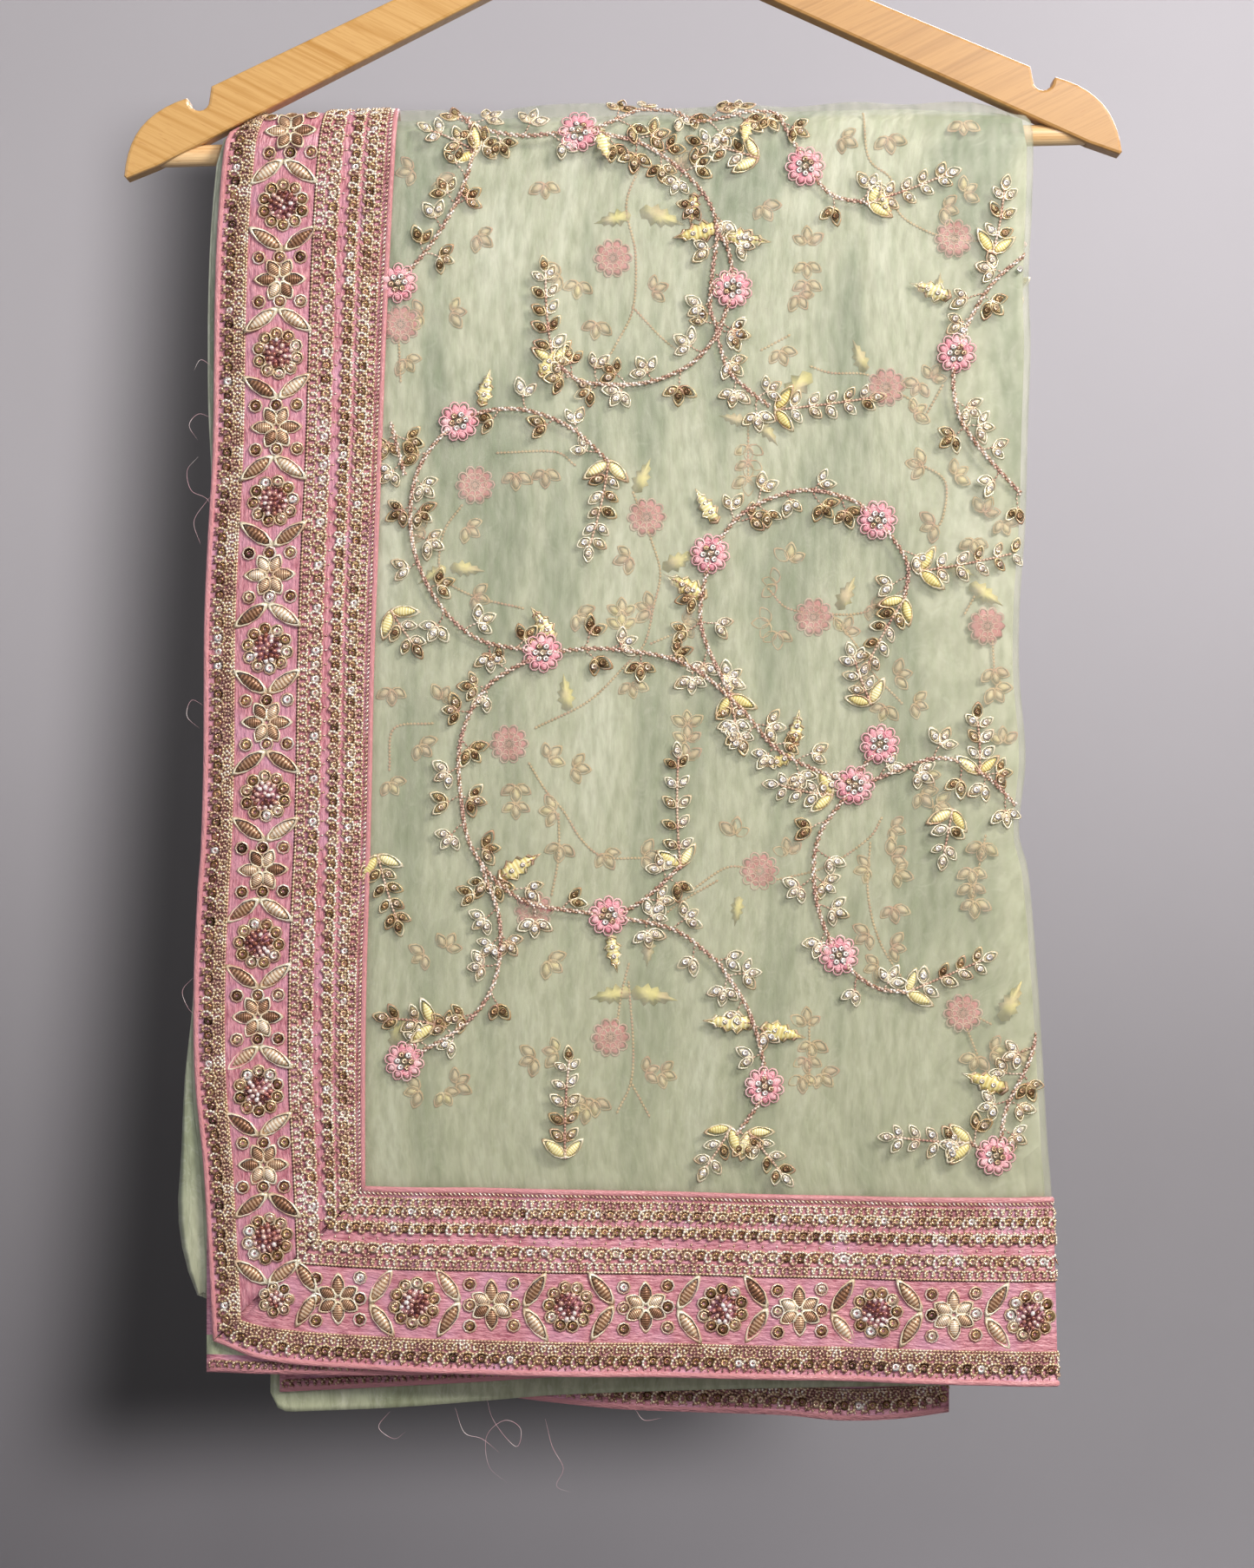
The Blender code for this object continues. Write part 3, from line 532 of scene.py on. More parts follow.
@dataclass(frozen=True)
class Finish(ABC):
    """What a surface is made of, and how its nodes show it."""

    name: str

    @abstractmethod
    def dress(self, tree: Tree) -> dict[str, Any]:
        """Adds the pattern's nodes, and says what feeds each of the shader's inputs."""

    def material(self) -> bpy.types.Material:
        """The finish as a material, made once."""
        made = bpy.data.materials.get(self.name)
        if made is None:
            made = bpy.data.materials.new(self.name)
            made.use_nodes = True
            feed(made.node_tree, made.node_tree.nodes["Principled BSDF"], self.dress(made.node_tree))
        return made


@dataclass(frozen=True)
class Organza(Finish):
    """Silk organza: a sheer, crisp plain weave. It lets the layer behind show, has a dry soft shine along its
    crumples, and fibrous hairlines where its fine threads are creased."""

    light: str = "#DCDDC9"
    dark: str = "#AFB79D"
    low: str = "#BABB99"
    # A painted shine: the lightest stop of the bands
    shine: str = "#E8EBD8"
    opacity: float = 1.0
    band_mm: Pair = (26.0, 150.0)
    mottle_mm: Pair = (3.4, 12.0)
    crease_mm: Pair = (11.0, 17.0)

    def dress(self, tree: Tree) -> dict[str, Any]:
        """Tall soft bands of painted light and shade, which also stand for the thicker and thinner layers
        beneath, and a painted shine in them; a fine mottle, hairlines, and a yellower lower half.
        """
        sheer = self.opacity < 0.5
        mottle = self.noise(tree, self.mottle_mm, 0.0 if sheer else 2.0)
        level = mottle if sheer else self.noise(tree, self.band_mm, 1.0)
        # The bands are painted light and shade, with a painted shine at their top
        bands = ((0.34, self.dark), (0.5, self.light), (0.6, self.light), (0.76, self.shine))
        stops = ((0.1, self.dark), (0.75, self.light)) if sheer else bands
        shade = add(tree, RAMP, {"Fac": level}, stops)["Color"]
        height = add(tree, SPLIT, {"Vector": add(tree, COORDINATES)["Object"]})["Z"]
        down = add(tree, RANGE, {"Value": height, 1: -0.2, 2: -0.7, 3: 0.0, 4: 0.6})["Result"]
        shade = add(tree, MIX, {0: down, 6: shade, 7: self.low}, data_type="RGBA")[2]
        fed = {"Roughness": 0.5, "Alpha": self.opacity, "Sheen Weight": 0.3, "Sheen Roughness": 0.4}
        if not sheer:
            silver = add(tree, RAMP, {"Fac": mottle}, ((0.32, "#D2D2CC"), (0.66, "#FFFFFF")))["Color"]
            shade = add(tree, MIX, {0: 0.75, 6: shade, 7: silver}, data_type="RGBA", blend_type="MULTIPLY")[2]
            crease = self.noise(tree, self.crease_mm, 2.0, 1.2)
            stops = ((0.478, "#000000"), (0.5, "#8C8C84"), (0.522, "#000000"))
            hair = add(tree, RAMP, {"Fac": crease}, stops)["Color"]
            shade = add(tree, MIX, {0: 0.4, 6: shade, 7: hair}, data_type="RGBA", blend_type="SCREEN")[2]
            relief = add(tree, BUMP, {"Height": mottle, "Distance": 0.45 * MM, "Strength": 0.8})
            fed["Normal"] = relief["Normal"]
        return {"Base Color": shade, "IOR": 1.46, **fed}

    @staticmethod
    def noise(tree: Tree, size_mm: Sequence[float], detail: float, distort: float = 0.0) -> Socket:
        """A flat noise over the cloth's own UV, this wide and tall in millimetres."""
        place = pattern_place(tree, size_mm, by="UV")
        inputs = {"Vector": place, "Scale": 1.0, "Detail": detail, "Roughness": 0.62, "Distortion": distort}
        return add(tree, NOISE, inputs, noise_dimensions="2D")["Fac"]


@dataclass(frozen=True)
class SatinGround(Finish):
    """Woven polyester satin: the pink ground of the borders. Its long floats give a silky shine, with a lilac
    sheen painted in patches, and the close stitching puckers it into short ridges between the rows. UV runs
    along and across the border."""

    light: str = "#E2A2AA"
    dark: str = "#A65E6C"
    edge: str = "#DAA0A2"
    # A lilac sheen, painted into the colour in patches
    lilac: str = "#D2A0BC"
    sheen: str = "#F0C8E0"
    slub_mm: Pair = (5.5, 1.3)
    patch_mm: Pair = (21.0, 21.0)
    roll_mm: float = 2.4

    def dress(self, tree: Tree) -> dict[str, Any]:
        """Ridges across the border, a painted lilac sheen in patches, and paler rolled edges."""
        place = pattern_place(tree, self.slub_mm, by="UV")
        slub = add(tree, NOISE, {"Vector": place, "Scale": 1.0, "Detail": 2.0, "Roughness": 0.7})["Fac"]
        place = pattern_place(tree, self.patch_mm, by="UV")
        patch = add(tree, NOISE, {"Vector": place, "Scale": 1.0, "Detail": 1.0})["Fac"]
        shade = add(tree, RAMP, {"Fac": slub}, ((0.34, self.dark), (0.68, self.light)))["Color"]
        # Painted sheen: the lilac is mixed in where the patch noise is high
        cast = add(tree, RANGE, {"Value": patch, 1: 0.45, 2: 0.75, 3: 0.0, 4: 0.6})["Result"]
        shade = add(tree, MIX, {0: cast, 6: shade, 7: self.lilac}, data_type="RGBA")[2]
        half = BORDER_WIDTH * MM / 2
        inner = half - self.roll_mm * MM
        across = add(tree, SPLIT, {"Vector": add(tree, COORDINATES)["UV"]})["Y"]
        middle = add(tree, MATH, {0: across, 1: half}, operation="SUBTRACT")[0]
        middle = add(tree, MATH, {0: middle}, operation="ABSOLUTE")[0]
        roll = add(tree, RANGE, {"Value": middle, 1: inner, 2: inner + 0.3 * MM})["Result"]
        worn = add(tree, MIX, {0: 0.35, 6: self.edge, 7: shade}, data_type="RGBA", blend_type="MULTIPLY")[2]
        return {
            "Base Color": add(tree, MIX, {0: roll, 6: shade, 7: worn}, data_type="RGBA")[2],
            "Roughness": 0.38, "Sheen Weight": 0.3, "Sheen Roughness": 0.35, "Sheen Tint": self.sheen,
            "Anisotropic": 0.4,
            "Normal": add(tree, BUMP, {"Height": slub, "Distance": 1.0 * MM, "Strength": 0.9})["Normal"],
        }


@dataclass(frozen=True)
class ZariThread(Finish):
    """Zari: a fine metal strip wound on a yarn. It shines like soft metal; its colours run from a painted
    shade, dark as in the hollows, to a painted highlight, pale gold as on the crests, and an attribute gives
    each stitch its own shade."""

    # From a dark painted shade to a pale-gold painted highlight
    stops: Stops = ((0.0, "#3A2A1A"), (0.28, "#846444"), (0.6, "#E6CDA6"), (1.0, "#FFFAEE"))
    blush: str = "#F2C8BE"
    blush_share: float = 0.35
    metal: float = 0.5
    rough: float = 0.3
    drift_mm: float = 7.0

    def dress(self, tree: Tree) -> dict[str, Any]:
        """A colour for each stitch, with a slow change and a blush in places."""
        tint = add(tree, ATTRIBUTE, attribute_name="tint")["Fac"]
        place = pattern_place(tree, [self.drift_mm] * 3)
        drift = add(tree, NOISE, {"Vector": place, "Scale": 1.0, "Detail": 0.0})["Fac"]
        level = add(tree, MATH, {0: drift, 1: tint}, operation="ADD")[0]
        level = add(tree, MATH, {0: level, 1: 0.5}, operation="SUBTRACT")[0]
        shade = add(tree, RAMP, {"Fac": level}, self.stops)["Color"]
        part = add(tree, RANGE, {"Value": drift, 1: 0.5, 2: 0.3, 3: 0.0, 4: self.blush_share})["Result"]
        shade = add(tree, MIX, {0: part, 6: shade, 7: self.blush}, data_type="RGBA")[2]
        return {"Base Color": shade, "Metallic": self.metal, "Roughness": self.rough}


@dataclass(frozen=True)
class Floss(Finish):
    """Viscose embroidery floss in satin stitch: close parallel threads with a silky shine. UV runs along and
    across each petal, from 0 at its foot to 1 at its tip."""

    stops: Stops
    rough: float = 0.34
    metal: float = 0.0
    threads: float = 2.9

    def dress(self, tree: Tree) -> dict[str, Any]:
        """Ten or so threads across each petal, drawn coarser than the real 0.4 mm so that they show."""
        tint = add(tree, ATTRIBUTE, attribute_name="tint")["Fac"]
        inputs = {"Vector": add(tree, COORDINATES)["UV"], "Scale": (1.0, 0.3, 1.0)}
        place = add(tree, "ShaderNodeMapping", inputs)["Vector"]
        inputs = {"Vector": place, "Scale": self.threads, "Distortion": 1.2, "Detail": 1.0}
        threads = add(tree, "ShaderNodeTexWave", inputs)["Fac"]
        level = add(tree, MATH, {0: threads, 1: 0.42}, operation="MULTIPLY")[0]
        level = add(tree, MATH, {0: level, 1: tint}, operation="ADD")[0]
        level = add(tree, MATH, {0: level, 1: 0.2}, operation="SUBTRACT")[0]
        return {
            "Base Color": add(tree, RAMP, {"Fac": level}, self.stops)["Color"],
            "Roughness": self.rough, "Metallic": self.metal, "Sheen Weight": 0.2,
            "Normal": add(tree, BUMP, {"Height": threads, "Distance": 0.15 * MM, "Strength": 0.6})["Normal"],
        }


@dataclass(frozen=True)
class SequinFilm(Finish):
    """Metallised polyester film, punched and cupped: a hard mirror-like glint, from silver to antique gold,
    with a rose or purple cast on some."""

    stops: Stops = ((0.0, "#523C26"), (0.3, "#8E6C48"), (0.55, "#C6A27A"), (0.8, "#F0DBC2"), (1.0, "#FDF6EE"))
    rough: float = 0.27
    metal: float = 0.6
    cast_mm: float = 3.2

    def dress(self, tree: Tree) -> dict[str, Any]:
        """A colour for each sequin, and a cast that changes over a few millimetres."""
        tint = add(tree, ATTRIBUTE, attribute_name="tint")["Fac"]
        shade = add(tree, RAMP, {"Fac": tint}, self.stops)["Color"]
        place = pattern_place(tree, [self.cast_mm] * 3)
        cast = add(tree, NOISE, {"Vector": place, "Scale": 1.0, "Detail": 0.0})["Color"]
        shade = add(tree, MIX, {0: 0.2, 6: shade, 7: cast}, data_type="RGBA", blend_type="SOFT_LIGHT")[2]
        return {
            "Base Color": shade, "Metallic": self.metal, "Roughness": self.rough, "Coat Weight": 0.4,
            "Coat Roughness": 0.1,
        }


@dataclass(frozen=True)
class VarnishedBeech(Finish):
    """Beech under satin varnish: straight honey grain with short flecks along the arm, and a soft coat."""

    slope: float = 0.0
    light: str = "#E8BF8E"
    dark: str = "#C98F4C"
    fleck: str = "#A66A30"
    grain_mm: tuple[float, float, float] = (170.0, 5.0, 5.0)
    fleck_mm: tuple[float, float, float] = (7.0, 0.8, 0.8)

    def dress(self, tree: Tree) -> dict[str, Any]:
        """Grain along the arm with short dark flecks, under varnish."""
        place = pattern_place(tree, self.grain_mm, self.slope)
        inputs = {"Vector": place, "Scale": 1.0, "Detail": 5.0, "Roughness": 0.62, "Distortion": 0.8}
        grain = add(tree, NOISE, inputs)["Fac"]
        stops = ((0.3, self.dark), (0.5, self.light), (0.72, self.dark))
        shade = add(tree, RAMP, {"Fac": grain}, stops)["Color"]
        place = pattern_place(tree, self.fleck_mm, self.slope)
        flecks = add(tree, NOISE, {"Vector": place, "Scale": 1.0, "Detail": 2.0})["Fac"]
        spots = add(tree, RANGE, {"Value": flecks, 1: 0.62, 2: 0.78, 3: 0.0, 4: 0.4})["Result"]
        return {
            "Base Color": add(tree, MIX, {0: spots, 6: shade, 7: self.fleck}, data_type="RGBA")[2],
            "Roughness": 0.42, "Coat Weight": 0.45, "Coat Roughness": 0.2, "IOR": 1.5,
            "Normal": add(tree, BUMP, {"Height": grain, "Distance": 0.1 * MM, "Strength": 0.4})["Normal"],
        }


@dataclass(frozen=True)
class NickelPlate(Finish):
    """Nickel-plated steel wire: a bright grey metal with fine drawing lines."""

    light: str = "#D8D7D4"
    dark: str = "#C2C2C0"
    lines_mm: tuple[float, float, float] = (0.9, 0.9, 14.0)

    def dress(self, tree: Tree) -> dict[str, Any]:
        """Fine lines that break the reflection a little."""
        place = pattern_place(tree, self.lines_mm)
        lines = add(tree, NOISE, {"Vector": place, "Scale": 1.0, "Detail": 2.0})["Fac"]
        return {
            "Base Color": add(tree, RAMP, {"Fac": lines}, ((0.2, self.dark), (0.8, self.light)))["Color"],
            "Roughness": add(tree, RANGE, {"Value": lines, 3: 0.2, 4: 0.34})["Result"], "Metallic": 1.0,
        }


@dataclass(frozen=True)
class Backdrop(Finish):
    """Matt studio paper, pale grey, with a painted fall-off of light that makes it darker low down and to
    one side, a painted soft shadow of the hung cloth to the left, and the faintest mottle. Its places
    are in metres."""

    light: str = "#EAE7E8"
    dark: str = "#676567"
    # The painted fall-off of light: its ends across and up in metres, and its share of each
    across_ends: Pair = (-1.0, 1.0)
    up_ends: Pair = (-1.75, 0.25)
    shares: Pair = (0.26, 0.66)
    # The painted shadow of the hung cloth: its edges, the side of the sweep that it lies on, its slant and
    # depth
    shade_left: Pair = (-0.79, -0.586)
    shade_right: Pair = (0.4, 0.1)
    shade_low: Pair = (-1.46, -1.29)
    shade_top: Pair = (0.51, 0.38)
    shade_back: Pair = (0.5, 1.5)
    shade_slant: float = 0.063
    shade_depth: float = 0.9

    def dress(self, tree: Tree) -> dict[str, Any]:
        """A painted fall-off of light from one corner to the other, a painted shadow with soft edges, and a
        mottle.
        """
        start = add(tree, COORDINATES)["Object"]
        place = add(tree, SPLIT, {"Vector": start})
        z = place["Z"]
        slant = add(tree, MATH, {0: z, 1: -self.shade_slant}, operation="MULTIPLY")[0]
        x = add(tree, MATH, {0: place["X"], 1: slant}, operation="ADD")[0]
        # Painted light: the fall-off across and up. Painted shadow: the cloth's shade, soft at each edge
        rises = (
            (place["X"], self.across_ends, self.shares[0]), (z, self.up_ends, self.shares[1]),
            (place["Y"], self.shade_back, self.shade_depth), (x, self.shade_left, 1.0),
            (x, self.shade_right, 1.0), (z, self.shade_low, 1.0), (z, self.shade_top, 1.0),
        )
        nodes = (
            add(tree, RANGE, {"Value": where, 1: low, 2: high, 4: most}, interpolation_type="SMOOTHSTEP")
            for where, (low, high), most in rises
        )
        across, up, fall, *parts = (node["Result"] for node in nodes)
        mottle = add(tree, NOISE, {"Vector": start, "Scale": 2.2, "Detail": 2.0})["Fac"]
        soft = add(tree, MATH, {0: mottle, 1: 0.08}, operation="MULTIPLY")[0]
        level = add(tree, MATH, {0: across, 1: up}, operation="ADD")[0]
        level = add(tree, MATH, {0: level, 1: soft}, operation="ADD")[0]
        paper = add(tree, RAMP, {"Fac": level}, ((0.0, self.dark), (1.0, self.light)))["Color"]
        for part in parts:
            fall = add(tree, MATH, {0: fall, 1: part}, operation="MULTIPLY")[0]
        shade = add(tree, MIX, {0: fall, 6: paper, 7: "#000000"}, data_type="RGBA")[2]
        return {"Base Color": shade, "Roughness": 0.9}


SHEER_ORGANZA = Organza("sheer_silk_organza", opacity=0.2)
UNDER_ORGANZA = Organza("folded_silk_organza", light="#CFD3BA", dark="#929F85", low="#ACAF8E")
EDGE_ORGANZA = Organza("hemmed_silk_organza", light="#C2CDAE", dark="#9DAE88", opacity=0.9)
PINK_SATIN = SatinGround("pink_woven_satin")
GOLD_ZARI = ZariThread("antique_gold_zari")
DARK_ZARI = ZariThread(
    "dark_seam_thread", stops=((0.0, "#3E2C26"), (0.6, "#5E4036"), (1.0, "#7C5A46")),
    blush_share=0.0, metal=0.2, rough=0.5,
)
ROSE_TWIST = ZariThread(
    "rose_copper_twist", stops=((0.0, "#66432F"), (0.3, "#A47A60"), (0.6, "#E6C8B2"), (1.0, "#FFF4EC")),
    blush="#F2C4BC", metal=0.2,
)
LEAF_GOLD = ZariThread(
    "leaf_outline_zari", stops=((0.0, "#6A4A2A"), (0.4, "#B08A58"), (0.7, "#E6CFA2"), (1.0, "#FDF4DA")),
    blush="#E6BEB4", metal=0.3,
)
COPPER_FLOSS = Floss(
    "copper_satin_stitch", ((0.0, "#55341F"), (0.35, "#96694A"), (0.68, "#E0BF9C"), (1.0, "#FFF6E2")),
    metal=0.3,
)
BRONZE_FLOSS = Floss(
    "bronze_leaf_stitch", ((0.0, "#4A3C22"), (0.3, "#857044"), (0.62, "#CBB684"), (1.0, "#FBF4DE")),
    metal=0.25,
)
PALE_FLOSS = Floss(
    "pale_gold_leaf_stitch", ((0.0, "#B89E54"), (0.4, "#DDCB7E"), (0.75, "#F2E7A8"), (1.0, "#FFF9D6")),
    metal=0.1,
)
PINK_FLOSS = Floss("pink_flower_stitch", ((0.0, "#C06078"), (0.5, "#E599A6"), (1.0, "#FCDCDA")), rough=0.4)
PINK_BRAID = ZariThread(
    "pink_dot_stitch", stops=((0.0, "#BE6278"), (0.5, "#E892A2"), (1.0, "#FDD6D6")), blush="#FBE6DC",
    blush_share=0.5, metal=0.0, rough=0.45,
)
SEQUINS = SequinFilm("cupped_sequin_film")
ROSE_BEADS = SequinFilm(
    "rose_copper_seed_beads", metal=0.35,
    stops=((0.0, "#4E2C22"), (0.3, "#8E5644"), (0.5, "#BE8278"), (0.75, "#E8C2B6"), (1.0, "#FFFAF6")),
)
LOOSE_FLOSS = ZariThread(
    "loose_pink_and_white_thread", stops=((0.0, "#CDA0A8"), (0.5, "#E0C0C2"), (1.0, "#FFF8F6")),
    blush="#FFF8F4", blush_share=0.8, metal=0.0, rough=0.5,
)
GHOST_LEAF = ZariThread(
    "lace_thread_behind", stops=((0.0, "#B08A60"), (0.5, "#E2BC8E"), (1.0, "#FFF0C4")), blush="#E0A08A",
    blush_share=0.6, metal=0.0, rough=0.6,
)
GHOST_FILL = ZariThread(
    "net_fill_behind", stops=((0.0, "#D2B890"), (0.5, "#E8D4AA"), (1.0, "#FAEC96")), blush="#E2BCA0",
    blush_share=0.4, metal=0.0, rough=0.7,
)
GHOST_ROSE = ZariThread(
    "flower_thread_behind", stops=((0.0, "#A84C5E"), (0.5, "#D4707E"), (1.0, "#F0A4AC")), blush="#DE8C90",
    metal=0.0, rough=0.6,
)
GHOST_LOOPS = ZariThread(
    "flower_loops_behind", stops=((0.0, "#C88486"), (0.5, "#EDB8AE"), (1.0, "#FCE2D2")), blush="#E6A0A0",
    metal=0.0, rough=0.6,
)
WOOD_LEFT = VarnishedBeech("honey_beech_left", slope=-0.46, light="#D2A666", dark="#B8863F")
WOOD_RIGHT = VarnishedBeech("honey_beech_right", slope=0.46, light="#BF9156", dark="#AB7E47")
WOOD_BAR = VarnishedBeech("honey_beech_bar", light="#EECB98", dark="#D0A069")
STEEL = NickelPlate("nickel_plated_steel")
PAPER = Backdrop("matt_grey_paper")


class Slot(Enum):
    """The record's material slots."""

    ORGANZA = "sage_organza"
    BORDER = "rose_zari_border"
    WOOD = "varnished_wood"
    STEEL = "plated_steel"


def link(name: str, mesh: Mesh) -> Piece:
    """Puts a mesh in the scene as an object at the origin."""
    piece = bpy.data.objects.new(name, mesh)
    bpy.context.scene.collection.objects.link(piece)
    return piece


def mesh_of(name: str, points: Array, faces: Array, uv: Array | None = None) -> Mesh:
    """Makes a smooth mesh.

    Args:
        name: the mesh's name.
        points: its points in metres.
        faces: the points' numbers, face by face.
        uv: a place on the cloth for each point.

    Returns:
        The mesh.
    """
    mesh = bpy.data.meshes.new(name)
    mesh.from_pydata(np.asarray(points).tolist(), [], [list(face) for face in faces])
    if uv is not None:
        corners = np.empty(len(mesh.loops), int)
        mesh.loops.foreach_get("vertex_index", corners)
        layer = mesh.uv_layers.new(name="UVMap")
        layer.data.foreach_set("uv", np.asarray(uv)[corners].astype(np.float32).ravel())
    mesh.shade_smooth()
    return mesh


def grid_faces(rows: int, columns: int) -> Array:
    """The quads of a grid of points, row after row."""
    first = np.arange(rows - 1)[:, None] * columns + np.arange(columns - 1)[None, :]
    return np.stack([first, first + 1, first + 1 + columns, first + columns], axis=-1).reshape(-1, 4)


def volume_of(points: Array, faces: Array) -> float:
    """The signed volume inside a closed mesh of quads."""
    a, b, c, d = (points[faces[:, k]] for k in range(4))
    return float((np.cross(a, b) * c).sum() + (np.cross(a, c) * d).sum()) / 6


def shell(name: str, outer: Array, inner: Array, uv: Array) -> Mesh:
    """A thin closed sheet between two grids of points.

    Args:
        name: the mesh's name.
        outer: one face's points in millimetres, by row and column.
        inner: the other face's, alike.
        uv: the points' places on the cloth in millimetres, by row and column.

    Returns:
        The mesh, its faces pointing out.
    """
    rows, columns = outer.shape[:2]
    points = np.concatenate([outer.reshape(-1, 3), inner.reshape(-1, 3)]) * MM
    face = grid_faces(rows, columns)
    number = np.arange(rows * columns).reshape(rows, columns)
    rim = np.concatenate([number[0, :-1], number[:-1, -1], number[-1, :0:-1], number[:0:-1, 0]])
    after = np.roll(rim, -1)
    behind = rows * columns
    wall = np.stack([rim, rim + behind, after + behind, after], axis=-1)
    faces = np.concatenate([face, face[:, ::-1] + behind, wall])
    if volume_of(points, faces) < 0.0:
        faces = faces[:, ::-1]
    places = np.concatenate([uv.reshape(-1, 2)] * 2) * MM
    return mesh_of(name, points, faces, places)


class Template(Enum):
    """The small things that are sewn on, each drawn once at unit size and then repeated."""

    SEQUIN = "sequin"
    STITCH = "stitch"
    LOOP = "loop"
    PAD = "pad"
    LEAF_EDGE = "leaf_edge"
    SAW_LEAF = "saw_leaf"
    SAW_EDGE = "saw_edge"
    PATCH = "patch"
    SAW_PATCH = "saw_patch"
    BEAD = "bead"


def tube_points(line: Array, radius: float, sides: int) -> Array:
    """Rings round a flat closed line.

    Args:
        line: its points in the XY plane.
        radius: the tube's radius.
        sides: points in each ring.

    Returns:
        The rings' points, by place and side.
    """
    ahead = np.roll(line, -1, axis=0) - np.roll(line, 1, axis=0)
    ahead /= np.linalg.norm(ahead, axis=1, keepdims=True)
    off = np.stack([ahead[:, 1], -ahead[:, 0]], axis=1)
    angles = turns(sides)
    flat = line[:, None, :] + radius * np.cos(angles)[None, :, None] * off[:, None, :]
    high = np.broadcast_to(radius * np.sin(angles)[None, :, None], (*flat.shape[:2], 1))
    return np.concatenate([flat, high], axis=-1)


def ring_mesh(name: str, rings: Array) -> Mesh:
    """A closed mesh through rings of points that come back to the first."""
    count, sides = rings.shape[:2]
    i = np.arange(count)[:, None]
    j = np.arange(sides)[None, :]
    ahead = (i + 1) % count
    beside = (j + 1) % sides
    faces = np.stack(
        [i * sides + j, ahead * sides + j, ahead * sides + beside, i * sides + beside], axis=-1
    ).reshape(-1, 4)
    points = rings.reshape(-1, 3)
    if volume_of(points, faces) < 0.0:
        faces = faces[:, ::-1]
    return mesh_of(name, points, faces, points[:, :2])


def leaf_line(count: int) -> Array:
    """The outline of a leaf from its foot at 0 to its tip at 1, one unit wide each way, counterclockwise."""
    t = turns(count)
    x = 0.5 - 0.5 * np.cos(t)
    y = -np.sign(np.sin(t)) * np.abs(np.sin(t)) ** 1.5 * (1.15 - 0.3 * x)
    return np.stack([x, y], axis=1)


def saw_line() -> Array:
    """The outline of a toothed leaf, whose four teeth on each side point to its tip, counterclockwise."""
    half = np.array([
        (0.0, 0.05), (0.1, 0.62), (0.24, 0.5), (0.36, 0.98), (0.45, 0.56), (0.6, 0.84), (0.67, 0.42),
        (0.84, 0.5), (0.89, 0.2),
    ])
    return np.concatenate([half * (1.0, -1.0), [[1.12, 0.0]], half[::-1]])


def slab(name: str, line: Array, thick: float) -> Mesh:
    """A flat closed plate over an outline."""
    count = len(line)
    middle = line.mean(axis=0)
    points = np.concatenate([
        np.column_stack([line, np.full(count, thick)]), [[*middle, thick]], [[*middle, 0.0]],
    ])
    faces = [[i, (i + 1) % count, count] for i in range(count)]
    faces += [[(i + 1) % count, i, count + 1] for i in range(count)]
    return mesh_of(name, points, faces, points[:, :2])


def domed(name: str, line: Array, crown: float) -> Mesh:
    """A padded shape over a flat outline, closed underneath.

    Args:
        name: the mesh's name.
        line: the outline's points.
        crown: the height of its middle.

    Returns:
        The mesh.
    """
    count = len(line)
    middle = line.mean(axis=0)
    inner = middle + (line - middle) * 0.55
    levels = [(line, 0.0), (inner, crown * 0.85)]
    points = [np.column_stack([flat, np.full(count, high)]) for flat, high in levels]
    points = np.concatenate([*points, [[*middle, crown]]])
    faces = [list(range(count))[::-1]]
    faces += [[i, (i + 1) % count, count + (i + 1) % count, count + i] for i in range(count)]
    faces += [[count + i, count + (i + 1) % count, 2 * count] for i in range(count)]
    return mesh_of(name, points, faces, points[:, :2])


def template_mesh(kind: Template) -> Mesh:
    """Draws one of the small things.

    Args:
        kind: which one.

    Returns:
        Its mesh, about one unit long, lying on the XY plane.
    """
    name = f"template_{kind.value}"
    turn = turns(8)
    circle = np.stack([np.cos(turn), np.sin(turn)], axis=1)
    if kind is Template.SEQUIN:
        hole, thick, cup = 0.26, 0.09, 0.2
        profile = [(hole, 0.0), (1.0, cup), (hole, thick)]
        rings = [np.column_stack([circle * r, np.full(8, z)]) for r, z in profile]
        return ring_mesh(name, np.stack(rings, axis=1))
    if kind is Template.LOOP:
        return ring_mesh(name, tube_points(circle, 0.17, 3))
    if kind is Template.LEAF_EDGE:
        return ring_mesh(name, tube_points(leaf_line(10), 0.085, 3))
    if kind is Template.PAD:
        return domed(name, leaf_line(12), 1.0)
    if kind is Template.SAW_EDGE:
        return ring_mesh(name, tube_points(saw_line(), 0.055, 3))
    if kind is Template.SAW_LEAF:
        return domed(name, saw_line(), 1.0)
    if kind in (Template.PATCH, Template.SAW_PATCH):
        line = leaf_line(10) if kind is Template.PATCH else saw_line()
        return slab(name, line, 0.1)
    if kind is Template.BEAD:
        ball = bmesh.new()
        bmesh.ops.create_icosphere(ball, subdivisions=1, radius=1.0)
        mesh = bpy.data.meshes.new(name)
        ball.to_mesh(mesh)
        ball.free()
        mesh.shade_smooth()
        return mesh
    points = [(-1, 0, 0), (0, 1, 0), (0, 0, 1), (0, -1, 0), (0, 0, -1), (1, 0, 0)]
    faces = [(0, 2, 1), (0, 3, 2), (0, 4, 3), (0, 1, 4), (5, 1, 2), (5, 2, 3), (5, 3, 4), (5, 4, 1)]
    return mesh_of(name, np.array(points, float), np.array(faces))


